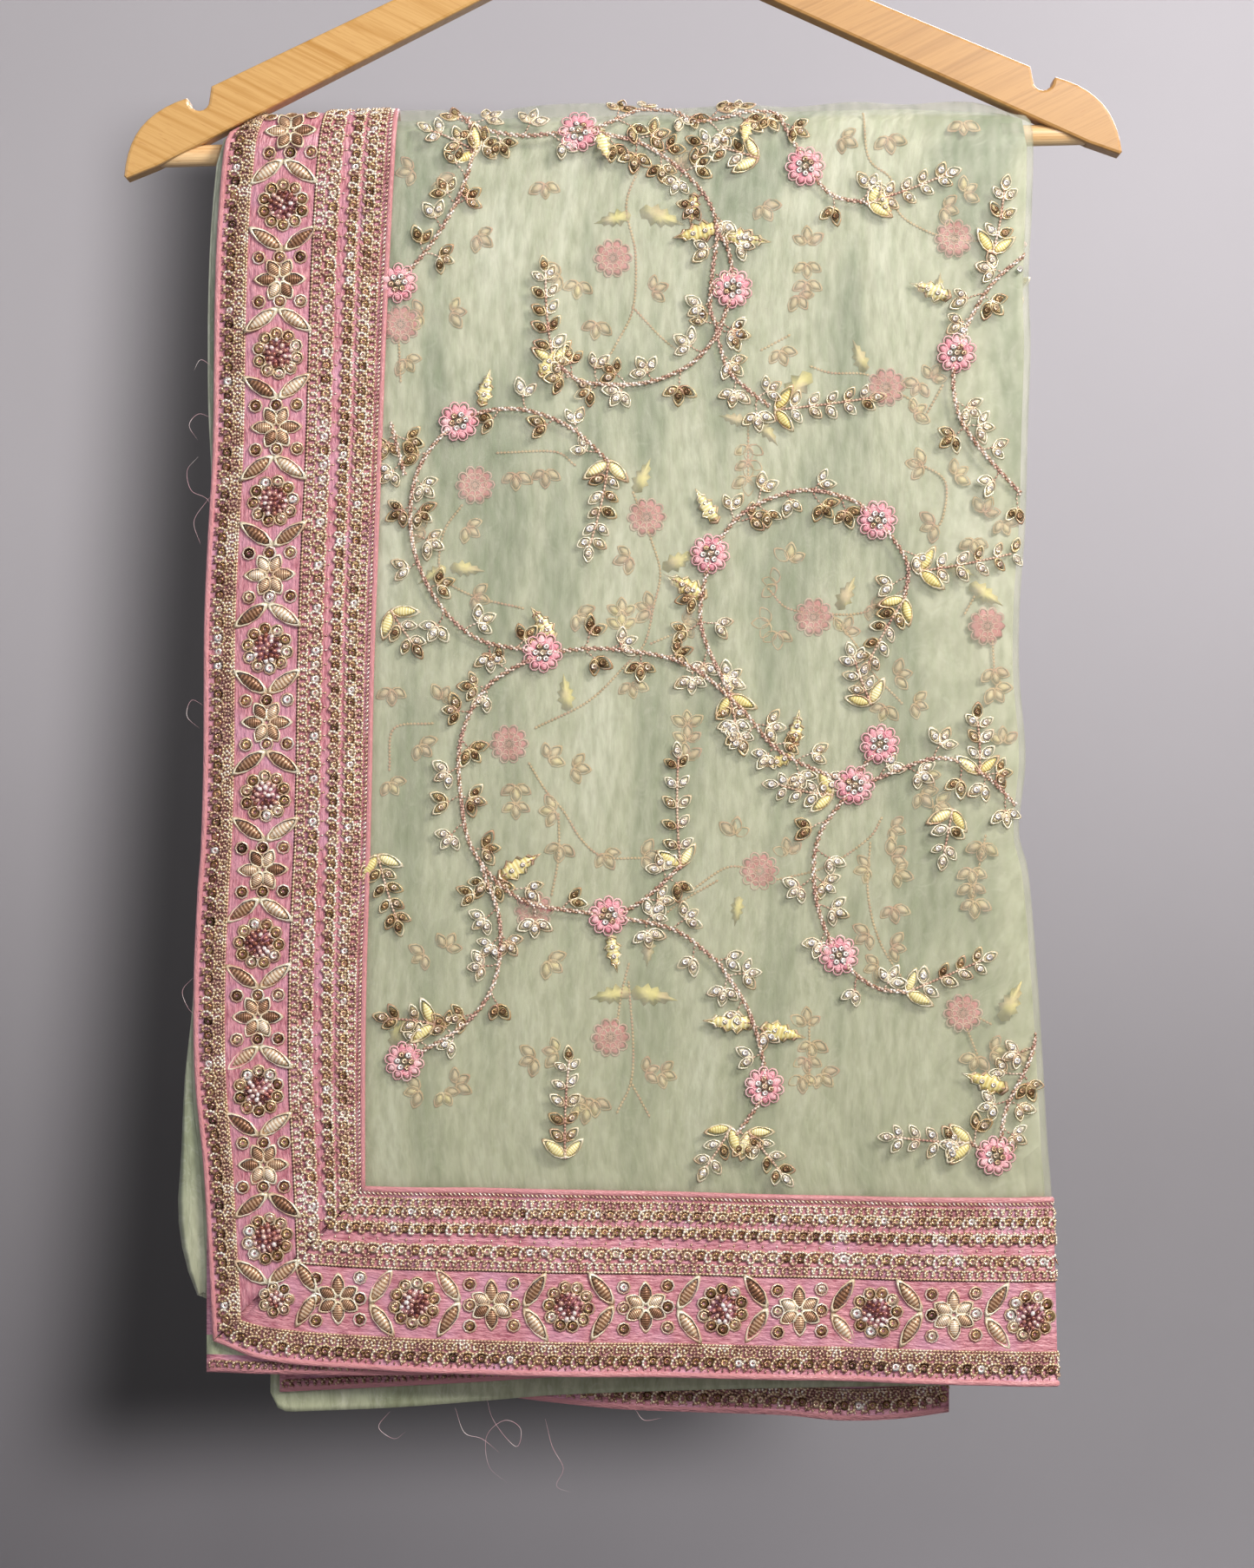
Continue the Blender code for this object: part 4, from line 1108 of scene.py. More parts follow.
class SewingTree(Enum):
    """The two Geometry Nodes trees that repeat a template."""

    SCATTER = "sew_at_points"
    CHAIN = "sew_along_threads"

    def socket(self, name: str) -> str:
        """The identifier of one of the tree's named inputs."""
        items = self.tree().interface.items_tree
        return next(item.identifier for item in items if item.name == name and item.in_out == "INPUT")

    def tree(self) -> Tree:
        """The tree, built once."""
        made = bpy.data.node_groups.get(self.value)
        if made:
            return made
        tree = bpy.data.node_groups.new(self.value, "GeometryNodeTree")
        tree.is_modifier = True
        tree.interface.new_socket("Geometry", in_out="OUTPUT", socket_type="NodeSocketGeometry")
        inputs = (
            ("Geometry", "Geometry"), ("Template", "Object"), ("Pitch", "Float"), ("Size", "Vector"),
            ("Tilt", "Float"), ("Seed", "Int"), ("Finish", "Material"),
        )
        for name, kind in inputs:
            tree.interface.new_socket(name, in_out="INPUT", socket_type=f"NodeSocket{kind}")
        given = add(tree, "NodeGroupInput")
        spots = given["Geometry"]
        kind = "GeometryNodeInputNamedAttribute"
        along, up, own = (
            add(tree, kind, {"Name": name}, data_type="FLOAT_VECTOR")["Attribute"]
            for name in ("along", "up", "size")
        )
        if self is SewingTree.CHAIN:
            threads = add(tree, "GeometryNodeMeshToCurve", {"Mesh": spots})["Curve"]
            inputs = {"Curve": threads, "Length": given["Pitch"]}
            spots = add(tree, "GeometryNodeResampleCurve", inputs, mode="LENGTH")["Curve"]
            along = add(tree, "GeometryNodeInputTangent")["Tangent"]
        face = add(tree, "FunctionNodeAlignRotationToVector", {"Vector": along}, axis="X")["Rotation"]
        inputs = {"Rotation": face, "Vector": up}
        face = add(tree, "FunctionNodeAlignRotationToVector", inputs, axis="Z", pivot_axis="X")["Rotation"]
        low = add(tree, MATH, {0: given["Tilt"], 1: -1.0}, operation="MULTIPLY")[0]
        inputs = {"Min": low, "Max": given["Tilt"], "Seed": given["Seed"]}
        chance = add(tree, "FunctionNodeRandomValue", inputs, data_type="FLOAT_VECTOR")["Value"]
        lean = add(tree, "FunctionNodeEulerToRotation", {"Euler": chance})["Rotation"]
        inputs = {"Rotation": face, "Rotate By": lean}
        face = add(tree, "FunctionNodeRotateRotation", inputs, rotation_space="LOCAL")["Rotation"]
        inputs = {0: given["Size"], 1: own}
        size = add(tree, "ShaderNodeVectorMath", inputs, operation="MULTIPLY")["Vector"]
        inputs = {"Object": given["Template"], "As Instance": True}
        thing = add(tree, "GeometryNodeObjectInfo", inputs)["Geometry"]
        inputs = {"Points": spots, "Instance": thing, "Rotation": face, "Scale": size}
        sewn = add(tree, "GeometryNodeInstanceOnPoints", inputs)["Instances"]
        real = add(tree, "GeometryNodeRealizeInstances", {"Geometry": sewn})["Geometry"]
        inputs = {"Geometry": real, "Material": given["Finish"]}
        done = add(tree, "GeometryNodeSetMaterial", inputs)["Geometry"]
        add(tree, "NodeGroupOutput", {"Geometry": done})
        return tree


@dataclass
class Sewing:
    """Many copies of one small thing with one finish, gathered first and then made as one piece."""

    name: str
    kind: Template
    finish: Finish
    slot: Slot
    tilt: float = 0.0
    points: list[Array] = field(default_factory=list)
    along: list[Array] = field(default_factory=list)
    up: list[Array] = field(default_factory=list)
    size: list[Array] = field(default_factory=list)
    tint: list[Array] = field(default_factory=list)

    least = 1

    def sew(
        self, cloth: Cloth, u: Array, drop: Array, heading: Values, size: Sequence,
        tint: Values, raised: Values = 0.2,
    ) -> None:
        """Sews copies at some places of a cloth.

        Args:
            cloth: what they are sewn on.
            u: the places across it.
            drop: the places down it.
            heading: where each points, as an angle from across towards down.
            size: its length, width and height in millimetres, as numbers or arrays.
            tint: its shade from 0 to 1.
            raised: how far off the cloth it lies.
        """
        given = (u, drop, heading, tint, raised, *size)
        all_given = np.broadcast_arrays(*(np.atleast_1d(value).astype(float) for value in given))
        keep = cloth.shows(all_given[0], all_given[1])
        u, drop, heading, tint, raised, *size = (values[keep] for values in all_given)
        if len(u) < self.least:
            return
        points, across, down, up = cloth.frames(u, drop, raised)
        self.points.append(points)
        self.along.append(across * np.cos(heading)[:, None] + down * np.sin(heading)[:, None])
        self.up.append(up)
        self.size.append(np.stack(size, axis=-1))
        self.tint.append(tint)

    def edges(self) -> Array:
        """The lines between the points, none for things that stand alone."""
        return np.empty((0, 2), int)

    def make(self, pitch: float = 1.0) -> Piece:
        """Makes the piece.

        Args:
            pitch: the spacing of the copies along a thread, in millimetres.

        Returns:
            A plain mesh object of all the copies.
        """
        grow = SewingTree.CHAIN if isinstance(self, Thread) else SewingTree.SCATTER
        mesh = bpy.data.meshes.new(self.name)
        points = np.concatenate(self.points) * MM
        mesh.from_pydata(points.tolist(), self.edges().tolist(), [])
        vectors = {"along": (self.along, 1.0), "up": (self.up, 1.0), "size": (self.size, MM)}
        for name, (values, scale) in vectors.items():
            layer = mesh.attributes.new(name, "FLOAT_VECTOR", "POINT")
            layer.data.foreach_set("vector", (np.concatenate(values) * scale).astype(np.float32).ravel())
        layer = mesh.attributes.new("tint", "FLOAT", "POINT")
        layer.data.foreach_set("value", np.concatenate(self.tint).astype(np.float32))
        piece = link(self.name, mesh)
        template = link("template", template_mesh(self.kind))
        sewn = piece.modifiers.new("sewing", "NODES")
        sewn.node_group = grow.tree()
        inputs = {
            "Template": template, "Pitch": pitch * MM, "Size": (1.0, 1.0, 1.0), "Tilt": self.tilt,
            "Seed": SEED, "Finish": self.finish.material(),
        }
        for name, value in inputs.items():
            sewn[grow.socket(name)] = value
        graph = bpy.context.evaluated_depsgraph_get()
        made = bpy.data.meshes.new_from_object(piece.evaluated_get(graph), depsgraph=graph)
        piece.modifiers.clear()
        piece.data = made
        for name in vectors:
            if name in made.attributes:
                made.attributes.remove(made.attributes[name])
        bpy.data.objects.remove(template)
        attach(piece, "root")
        LOG.info("%s: %d triangles", self.name, sum(len(p.vertices) - 2 for p in made.polygons))
        return piece


class Thread(Sewing):
    """Stitches in a chain along threads."""

    least = 2

    def run(
        self, cloth: Cloth, u: Array, drop: Array, size: Sequence[float], tint: Values,
        raised: Values = 0.3,
    ) -> None:
        """Lays one thread.

        Args:
            cloth: what it is laid on.
            u: its places across the cloth.
            drop: its places down the cloth.
            size: the half length, half width and half height of a stitch in millimetres.
            tint: its shade from 0 to 1.
            raised: how far off the cloth it lies.
        """
        self.sew(cloth, u, drop, 0.0, size, tint, raised)

    def edges(self) -> Array:
        """The lines between each thread's points."""
        runs = []
        start = 0
        for points in self.points:
            number = np.arange(start, start + len(points))
            runs.append(np.stack([number[:-1], number[1:]], axis=1))
            start += len(points)
        return np.concatenate(runs)


# How far past the start of the right fold the sheets' last columns lie
WRAP = np.concatenate([
    FOLD_RADIUS * np.radians([30, 60, 90, 120, 150, 180]), FOLD_RADIUS * math.pi + np.array([6, 12]),
])
SEAM_GAP = 0.05


def border_x(side: Side, drop: Array, share: Values) -> Array:
    """Across the side border at this drop, bent a little so that it meets the mitre."""
    end_x, end_drop = side.mitre(share)
    x = side.left(drop) + (side.seam(drop) - side.left(drop)) * share
    end = side.left(end_drop) + (side.seam(end_drop) - side.left(end_drop)) * share
    return x + (end_x - end) * ease(0.0, 1.0, 1.0 - (end_drop - drop) / 60.0)


def hem_drop(side: Side, x: Array, share: Values) -> Array:
    """The drop of a line along the hem border."""
    return side.hem_edge(x) + (side.hem_seam(x) - side.hem_edge(x)) * share


def hem_bend(side: Side, share: Values) -> Array:
    """Where a line along the hem border starts to turn round the right fold."""
    bend = side.right(side.hem_edge(0.0)) - FOLD_RADIUS + 0.0 * np.asarray(share, float)
    for _ in range(3):
        bend = side.right(hem_drop(side, bend, share)) - FOLD_RADIUS
    return bend


def over_the_bar(front: Array, back: Array) -> Array:
    """Joins two grids that both start on the ridge into one that runs from the front hem to the back hem."""
    return np.concatenate([front[::-1], back[1:]])


def finished(name: str, mesh: Mesh, finishes: Sequence[Finish], slot: Slot, *nodes: str) -> Piece:
    """Turns a mesh into a piece of the part.

    Args:
        name: the piece's name.
        mesh: its mesh.
        finishes: what it is made of.
        slot: the record's slot; not used.
        nodes: the solids that it stands for.

    Returns:
        The piece.
    """
    piece = link(name, mesh)
    for finish in finishes:
        mesh.materials.append(finish.material())
    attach(piece, "root")
    if nodes:
        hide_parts(*nodes)
    LOG.info("%s: %d triangles", name, sum(len(p.vertices) - 2 for p in mesh.polygons))
    return piece


@dataclass
class OrganzaField:
    """The sheer sheet between the borders, one stretch from the front hem over the bar to the back hem."""

    columns: int = 64
    rows: int = 92

    def places(self, side: Side) -> Places:
        """Places on one side, from the ridge down and from the side border round the fold."""
        down = np.linspace(0.0, 1.0, self.rows)[:, None]
        across = np.linspace(0.0, 1.0, self.columns)[None, :]
        drop = RIDGE + (side.hem_seam(0.0) - RIDGE) * down + 0.0 * across
        for _ in range(3):
            start = side.seam(drop) + SEAM_GAP
            u = start + (side.right(drop) - FOLD_RADIUS - start) * across
            drop = RIDGE + (side.hem_seam(u) - SEAM_GAP - RIDGE) * down
        u = np.concatenate([u, u[:, -1:] + WRAP], axis=1)
        return u, np.concatenate([drop, np.repeat(drop[:, -1:], len(WRAP), axis=1)], axis=1)

    def build(self, with_pieces: Sequence[Piece]) -> Piece:
        grids = []
        for side in (FRONT, BACK):
            u, drop = self.places(side)
            sheet = OuterSheet(side)
            uv = np.stack([u, side.way * -drop], axis=-1)
            grids.append((sheet.place(u, drop), sheet.place(u, drop, -SHEET_WALL), uv))
        mesh = shell("organza_field", *(over_the_bar(front, back) for front, back in zip(*grids)))
        piece = finished("organza_field", mesh, [SHEER_ORGANZA], Slot.ORGANZA, "field_front", "field_back")
        return piece


@dataclass
class SatinBorder:
    """The pink satin under the borders' work: rolled outer edge, flat ground, and piping at the seam."""

    roll_radius: float = 1.2
    roll_rise: float = 0.9
    roll_room: Pair = (1.6, 1.0)
    ground_step: float = 3.8
    rows: int = 100
    columns: int = 84

    def across(self) -> Array:
        """Places across the border from its outer edge, close together on the two rolls."""
        roll = self.roll_radius * (1.0 - np.cos(np.linspace(0.0, math.pi, 7)))
        first = 2 * self.roll_radius + self.roll_room[0]
        last = BORDER_WIDTH - 2 * self.roll_radius - self.roll_room[1]
        ground = np.arange(first, last, self.ground_step)
        return np.concatenate([roll, ground, BORDER_WIDTH - roll[::-1]])

    def rise(self, across: Array) -> Array:
        """How far the rolls stand off the ground."""
        near = np.minimum(across, BORDER_WIDTH - across)
        off = (near - self.roll_radius) / self.roll_radius
        return self.roll_rise * np.sqrt(np.clip(1.0 - off * off, 0.0, 1.0))

    def side(self, with_pieces: Sequence[Piece]) -> Piece:
        """The border down the free edge, over the bar on both sides."""
        across = self.across()[None, :]
        share = across / BORDER_WIDTH
        down = np.linspace(0.0, 1.0, self.rows)[:, None]
        grids = []
        for side in (FRONT, BACK):
            _, end = side.mitre(share)
            drop = RIDGE + (end - SEAM_GAP - RIDGE) * down
            u = border_x(side, drop, share)
            sheet = OuterSheet(side)
            raised = self.rise(across) + 0.0 * drop
            uv = np.stack(np.broadcast_arrays(side.way * -drop, across), axis=-1)
            grids.append((sheet.place(u, drop, raised), sheet.place(u, drop, -SATIN_WALL), uv))
        mesh = shell("side_border_satin", *(over_the_bar(front, back) for front, back in zip(*grids)))
        nodes = ("side_border_front", "side_border_back")
        piece = finished("side_border_satin", mesh, [PINK_SATIN], Slot.BORDER, *nodes)
        return piece

    def hem(self, side: Side, with_pieces: Sequence[Piece]) -> Piece:
        """The border along one hem, from the mitre round the right fold."""
        across = self.across()[:, None]
        share = across / BORDER_WIDTH
        start, _ = side.mitre(share)
        along = np.linspace(0.0, 1.0, self.columns)[None, :]
        start = start + SEAM_GAP
        u = start + (hem_bend(side, share) - start) * along
        drop = hem_drop(side, u, share)
        u = np.concatenate([u, u[:, -1:] + WRAP], axis=1)
        drop = np.concatenate([drop, np.repeat(drop[:, -1:], len(WRAP), axis=1)], axis=1)
        sheet = OuterSheet(side)
        raised = self.rise(across) + 0.0 * drop
        uv = np.stack(np.broadcast_arrays(u, across), axis=-1)
        name = f"hem_border_satin_{side.name}"
        mesh = shell(name, sheet.place(u, drop, raised), sheet.place(u, drop, -SATIN_WALL), uv)
        piece = finished(name, mesh, [PINK_SATIN], Slot.BORDER, f"hem_border_{side.name}")
        return piece


# The runs of the sheet that is folded to and fro inside the bundle, from the front face in: its place
# through the depth, and how far its folds stand out at the left, at the right and at the hem
RUNS = Table(
    "run share left right hem",
    (0, 0.00, 4.6, 12.3, 5.0), (1, 0.14, 5.0, 12.3, 6.0), (2, 0.29, 5.0, 11.0, 8.5),
    (3, 0.44, 3.6, 11.0, 9.5), (4, 0.58, 3.6, 12.2, 7.0), (5, 0.72, 4.6, 12.2, 8.0),
    (6, 0.86, 4.6, 9.6, 5.0), (7, 1.00, 1.2, 9.6, 2.0),
)
# How far the folds show past the front's free edge, and the loop of organza that stands out low down
PEEK = Table(
    "drop share loop",
    (RIDGE, 0.6, 0.0), (0, 1.0, 0.0), (110, 1.0, 0.0), (160, 0.35, 0.0), (370, 0.5, 0.0), (417, 1.0, 3.0),
    (445, 1.0, 7.4), (470, 1.0, 10.6), (492, 1.0, 8.6), (508, 1.0, 3.6), (520, 1.0, 0.0),
)


@dataclass
class FoldedOrganza:
    """The rest of the saree, folded to and fro in uneven widths and hung over the bar as one stretch."""

    run_steps: int = 9
    turn_steps: int = 5
    rows: int = 46
    wall: float = 0.3
    left_inset: float = 3.0
    right_inset: float = 16.0
    hem_inset: float = 18.0
    first_depth: float = 1.9
    hem_corner: float = 9.0
    loop_share: float = 0.22
    loop_reach: float = 0.14
    middle_gap: float = 0.8
    bar_gap: float = 0.3
    low_gap: float = 1.9
    low_room: float = 1.5
    pink_height: float = 54.0
    green_left: float = -171.0

    def section(self) -> dict[str, Array]:
        """One pass through all the runs, from the front face in.

        Returns:
            For each point: its share of the width, its share of the depth, the fold's reach to the left and
            right, its hem, how far the turn bulges, how much it belongs to the loop, and the sheet's normal.
        """
        points = []
        rows = list(RUNS.rows())
        for i, row in enumerate(rows):
            way = 1.0 if i % 2 == 0 else -1.0
            for t in np.linspace(0.0, 1.0, self.run_steps):
                width = t if way > 0 else 1.0 - t
                points.append((width, row["share"], row["left"], row["right"], row["hem"], 0.0, 0.0, way))
            if i == len(rows) - 1:
                break
            after = rows[i + 1]
            middle = (row["share"] + after["share"]) / 2
            deep = (after["share"] - row["share"]) / 2
            for angle in np.linspace(90.0, -90.0, self.turn_steps + 2)[1:-1]:
                turn = math.radians(angle)
                share = middle - deep * math.sin(turn)
                hem = row["hem"] + (after["hem"] - row["hem"]) * (90.0 - angle) / 180.0
                width = 1.0 if way > 0 else 0.0
                side = math.cos(turn)
                reach = (row["left"], row["right"])
                points.append((width, share, *reach, hem, way * side, side, way * math.sin(turn)))
        names = "width share left right hem bulge side_normal out_normal".split()
        return dict(zip(names, np.array(points).T))

    def grid(self, side: Side, lift: float) -> Places:
        """The sheet's points on one side of the bar.

        Args:
            side: the front or the back.
            lift: how far off the sheet's middle they lie.

        Returns:
            Points by row and column from the ridge down, and their UV: along the section and up from the hem.
        """
        s = self.section()
        level = side.hem_edge(0.0) - self.hem_inset
        down = np.linspace(0.0, 1.0, self.rows)[:, None] ** 0.9
        drop = RIDGE + (level - RIDGE) * down + 0.0 * s["width"]
        for _ in range(3):
            shown = PEEK.read("share", drop) if side is FRONT else 0.6 + 0.4 * ease(RIDGE, 0.0, drop)
            loop = PEEK.read("loop", drop) if side is FRONT else 0.0
            near = np.maximum(1.0 - np.abs(s["share"] - self.loop_share) / self.loop_reach, 0.0)
            left = side.left(drop) + self.left_inset - s["left"] * shown - loop * near
            right = side.right(drop) - self.right_inset + s["right"]
            x = left + (right - left) * s["width"] + 0.7 * s["bulge"]
            inset = np.clip(np.minimum(x - left, right - x), 0.0, self.hem_corner)
            corner = self.hem_corner - np.sqrt(self.hem_corner**2 - (self.hem_corner - inset) ** 2)
            end = side.hem_edge(x) - self.hem_inset + s["hem"] - corner
            drop = RIDGE + (end - RIDGE) * down
        x = x + lift * s["side_normal"]
        low = ease(430.0, 455.0, drop)
        room = self.low_room * low if side is FRONT else 0.0
        face = side.height(x, drop) - self.first_depth - room
        over_bar = (BAR_RADIUS + self.bar_gap - self.middle_gap) * (1.0 - ease(3.0, 26.0, drop))
        inner = self.middle_gap + over_bar + self.low_gap * low
        inner = inner + self.wall
        out = face - (face - inner) * s["share"] + lift * s["out_normal"]
        length = np.cumsum(np.hypot(np.gradient(x, axis=1), np.gradient(out, axis=1)), axis=1)
        return side.at(x, drop, out), np.stack([length, end - drop], axis=-1)

    def build(self) -> Piece:
        half = self.wall / 2
        outer = over_the_bar(*(self.grid(side, half)[0] for side in (FRONT, BACK)))
        inner = over_the_bar(*(self.grid(side, -half)[0] for side in (FRONT, BACK)))
        uv = over_the_bar(*(self.grid(side, 0.0)[1] for side in (FRONT, BACK)))
        mesh = shell("folded_organza", outer, inner, uv)
        finishes = [UNDER_ORGANZA, PINK_SATIN]
        piece = finished("folded_organza", mesh, finishes, Slot.ORGANZA, "folded_layers")
        layer = mesh.uv_layers["UVMap"].data
        heights = np.empty(2 * len(layer))
        layer.foreach_get("uv", heights)
        for face in mesh.polygons:
            up = [heights[2 * corner + 1] for corner in face.loop_indices]
            low = sum(up) / len(up) < self.pink_height * MM
            left = min(mesh.vertices[corner].co.x for corner in face.vertices)
            face.material_index = int(low and left > self.green_left * MM)
        long = 2 * (float(FRONT.hem_edge(0.0)) - self.hem_inset - RIDGE) * MM
        return piece


class RowKind(Enum):
    """The ways in which a row of the border is stitched."""

    LOOPS = "curls that each hold a sequin"
    CURLS = "curls alone"
    CHAIN = "a straight chain"
    SLANTS = "slanted stitches"
    LEAVES = "a herringbone of small stitches"
    DOTS = "single stitches across the row"


@dataclass(frozen=True)
class Row:
    """One row of stitches along a border, in millimetres from its outer edge."""

    kind: RowKind
    across: float
    pitch: float
    reach: float
    tint: float = 0.5
    sequins: float = 0.5


BORDER_ROWS = (
    Row(RowKind.DOTS, 3.4, 3.15, 0.9, 0.4),
    Row(RowKind.LOOPS, 6.7, 6.3, 2.75, 0.5, 0.28),
    Row(RowKind.CURLS, 11.5, 3.0, 1.8, 0.6),
    Row(RowKind.CHAIN, 13.9, 0.0, 0.0, 0.6),
    Row(RowKind.CHAIN, 43.2, 0.0, 0.0, 0.6),
    Row(RowKind.CURLS, 45.7, 3.3, 1.5, 0.66),
    Row(RowKind.LOOPS, 50.7, 6.3, 2.85, 0.7, 0.66),
    Row(RowKind.DOTS, 55.2, 6.3, 0.9, 0.7),
    Row(RowKind.LOOPS, 59.7, 5.5, 2.45, 0.68, 0.42),
    Row(RowKind.LEAVES, 63.3, 2.75, 1.2, 0.7),
    Row(RowKind.LOOPS, 66.9, 5.5, 2.45, 0.66, 0.54),
    Row(RowKind.CURLS, 71.1, 3.3, 1.45, 0.6),
    Row(RowKind.SLANTS, 74.2, 1.9, 1.2, 0.7),
)


def steps_along(u: Array, drop: Array, pitch: float, first: float = 0.0) -> tuple[Array, Array, Array]:
    """Even places along a line on a cloth.

    Args:
        u: the line's places across.
        drop: the line's places down.
        pitch: the distance between the places wanted.
        first: the distance to the first.

    Returns:
        The places across and down, and the line's heading there.
    """
    length = np.concatenate([[0.0], np.cumsum(np.hypot(np.diff(u), np.diff(drop)))])
    at = np.arange(first, length[-1], pitch)
    near = 0.6
    places = [np.interp(at + off, length, values) for values in (u, drop) for off in (-near, 0.0, near)]
    heading = np.arctan2(places[5] - places[3], places[2] - places[0])
    return places[1], places[4], heading


def aside(u: Array, drop: Array, heading: Array, off: Values) -> Places:
    """Places moved square to their heading, positive towards the cloth's outer edge."""
    return u - np.sin(heading) * off, drop + np.cos(heading) * off


def ahead(u: Array, drop: Array, heading: Array, on: Values) -> Places:
    """Places moved along their heading."""
    return u + np.cos(heading) * on, drop + np.sin(heading) * on


# The spacing of the stitches along a thread, in millimetres
FRONT_PITCH = 1.55
BACK_PITCH = 1.9


class Basket:
    """What is sewn on one face of the saree, sorted by thing and finish."""

    def __init__(self, face: str, pitch: float = FRONT_PITCH) -> None:
        """Lays out the empty gatherings.

        Args:
            face: the last part of their pieces' names.
            pitch: the spacing of the stitches along a thread, in millimetres.
        """
        self.pitch = pitch
        border = Slot.BORDER
        sheer = Slot.ORGANZA
        stitch = Template.STITCH
        self.zari = Thread(f"border_zari_{face}", stitch, GOLD_ZARI, border, 0.25)
        self.seam = Thread(f"border_seam_thread_{face}", stitch, DARK_ZARI, border, 0.1)
        self.twist = Thread(f"vine_twist_{face}", stitch, ROSE_TWIST, sheer, 0.3)
        self.lace = Thread(f"vine_behind_{face}", stitch, GHOST_LEAF, sheer, 0.1)
        self.sequins = Sewing(f"sequins_{face}", Template.SEQUIN, SEQUINS, border, 0.3)
        self.beads = Sewing(f"seed_beads_{face}", Template.BEAD, ROSE_BEADS, border, 0.5)
        self.rings = Sewing(f"sequin_rings_{face}", Template.LOOP, GOLD_ZARI, border, 0.05)
        self.stitches = Sewing(f"border_stitches_{face}", stitch, GOLD_ZARI, border, 0.15)
        self.copper = Sewing(f"copper_petals_{face}", Template.PAD, COPPER_FLOSS, border, 0.03)
        self.bronze = Sewing(f"bronze_leaves_{face}", Template.PAD, BRONZE_FLOSS, sheer, 0.05)
        self.pale = Sewing(f"pale_gold_leaves_{face}", Template.PAD, PALE_FLOSS, sheer, 0.05)
        self.saw = Sewing(f"toothed_leaves_{face}", Template.SAW_LEAF, PALE_FLOSS, sheer, 0.05)
        self.saw_edges = Sewing(f"toothed_outlines_{face}", Template.SAW_EDGE, LEAF_GOLD, sheer, 0.03)
        self.leaf_edges = Sewing(f"leaf_outlines_{face}", Template.LEAF_EDGE, LEAF_GOLD, sheer, 0.03)
        self.pink_pads = Sewing(f"flower_petals_{face}", Template.PAD, PINK_FLOSS, sheer, 0.05)
        self.pink_loops = Sewing(f"flower_loops_{face}", Template.LOOP, PINK_BRAID, sheer, 0.12)
        self.ghost_edges = Sewing(f"leaves_behind_{face}", Template.LEAF_EDGE, GHOST_LEAF, sheer, 0.02)
        self.ghost_fills = Sewing(f"net_leaves_behind_{face}", Template.PATCH, GHOST_FILL, sheer)
        self.ghost_saw = Sewing(f"toothed_leaves_behind_{face}", Template.SAW_PATCH, GHOST_FILL, sheer)
        self.ghost_pads = Sewing(f"flowers_behind_{face}", Template.PAD, GHOST_ROSE, sheer, 0.02)
        self.ghost_loops = Sewing(f"flower_loops_behind_{face}", Template.LOOP, GHOST_LOOPS, sheer, 0.02)

    def make(self) -> dict[Slot, list[Piece]]:
        """Makes each piece that has anything in it, sorted by slot."""
        pieces: dict[Slot, list[Piece]] = {Slot.BORDER: [], Slot.ORGANZA: []}
        for item in vars(self).values():
            if isinstance(item, Sewing) and item.points:
                pieces[item.slot].append(item.make(self.pitch))
        return pieces


# A stitch's half length, half width and half height, in millimetres
THREAD_SIZE = (1.15, 0.72, 0.6)
FINE_THREAD = (1.0, 0.5, 0.45)
LOOP_THREAD = (1.25, 0.84, 0.72)
CURL_THREAD = (1.05, 0.74, 0.6)


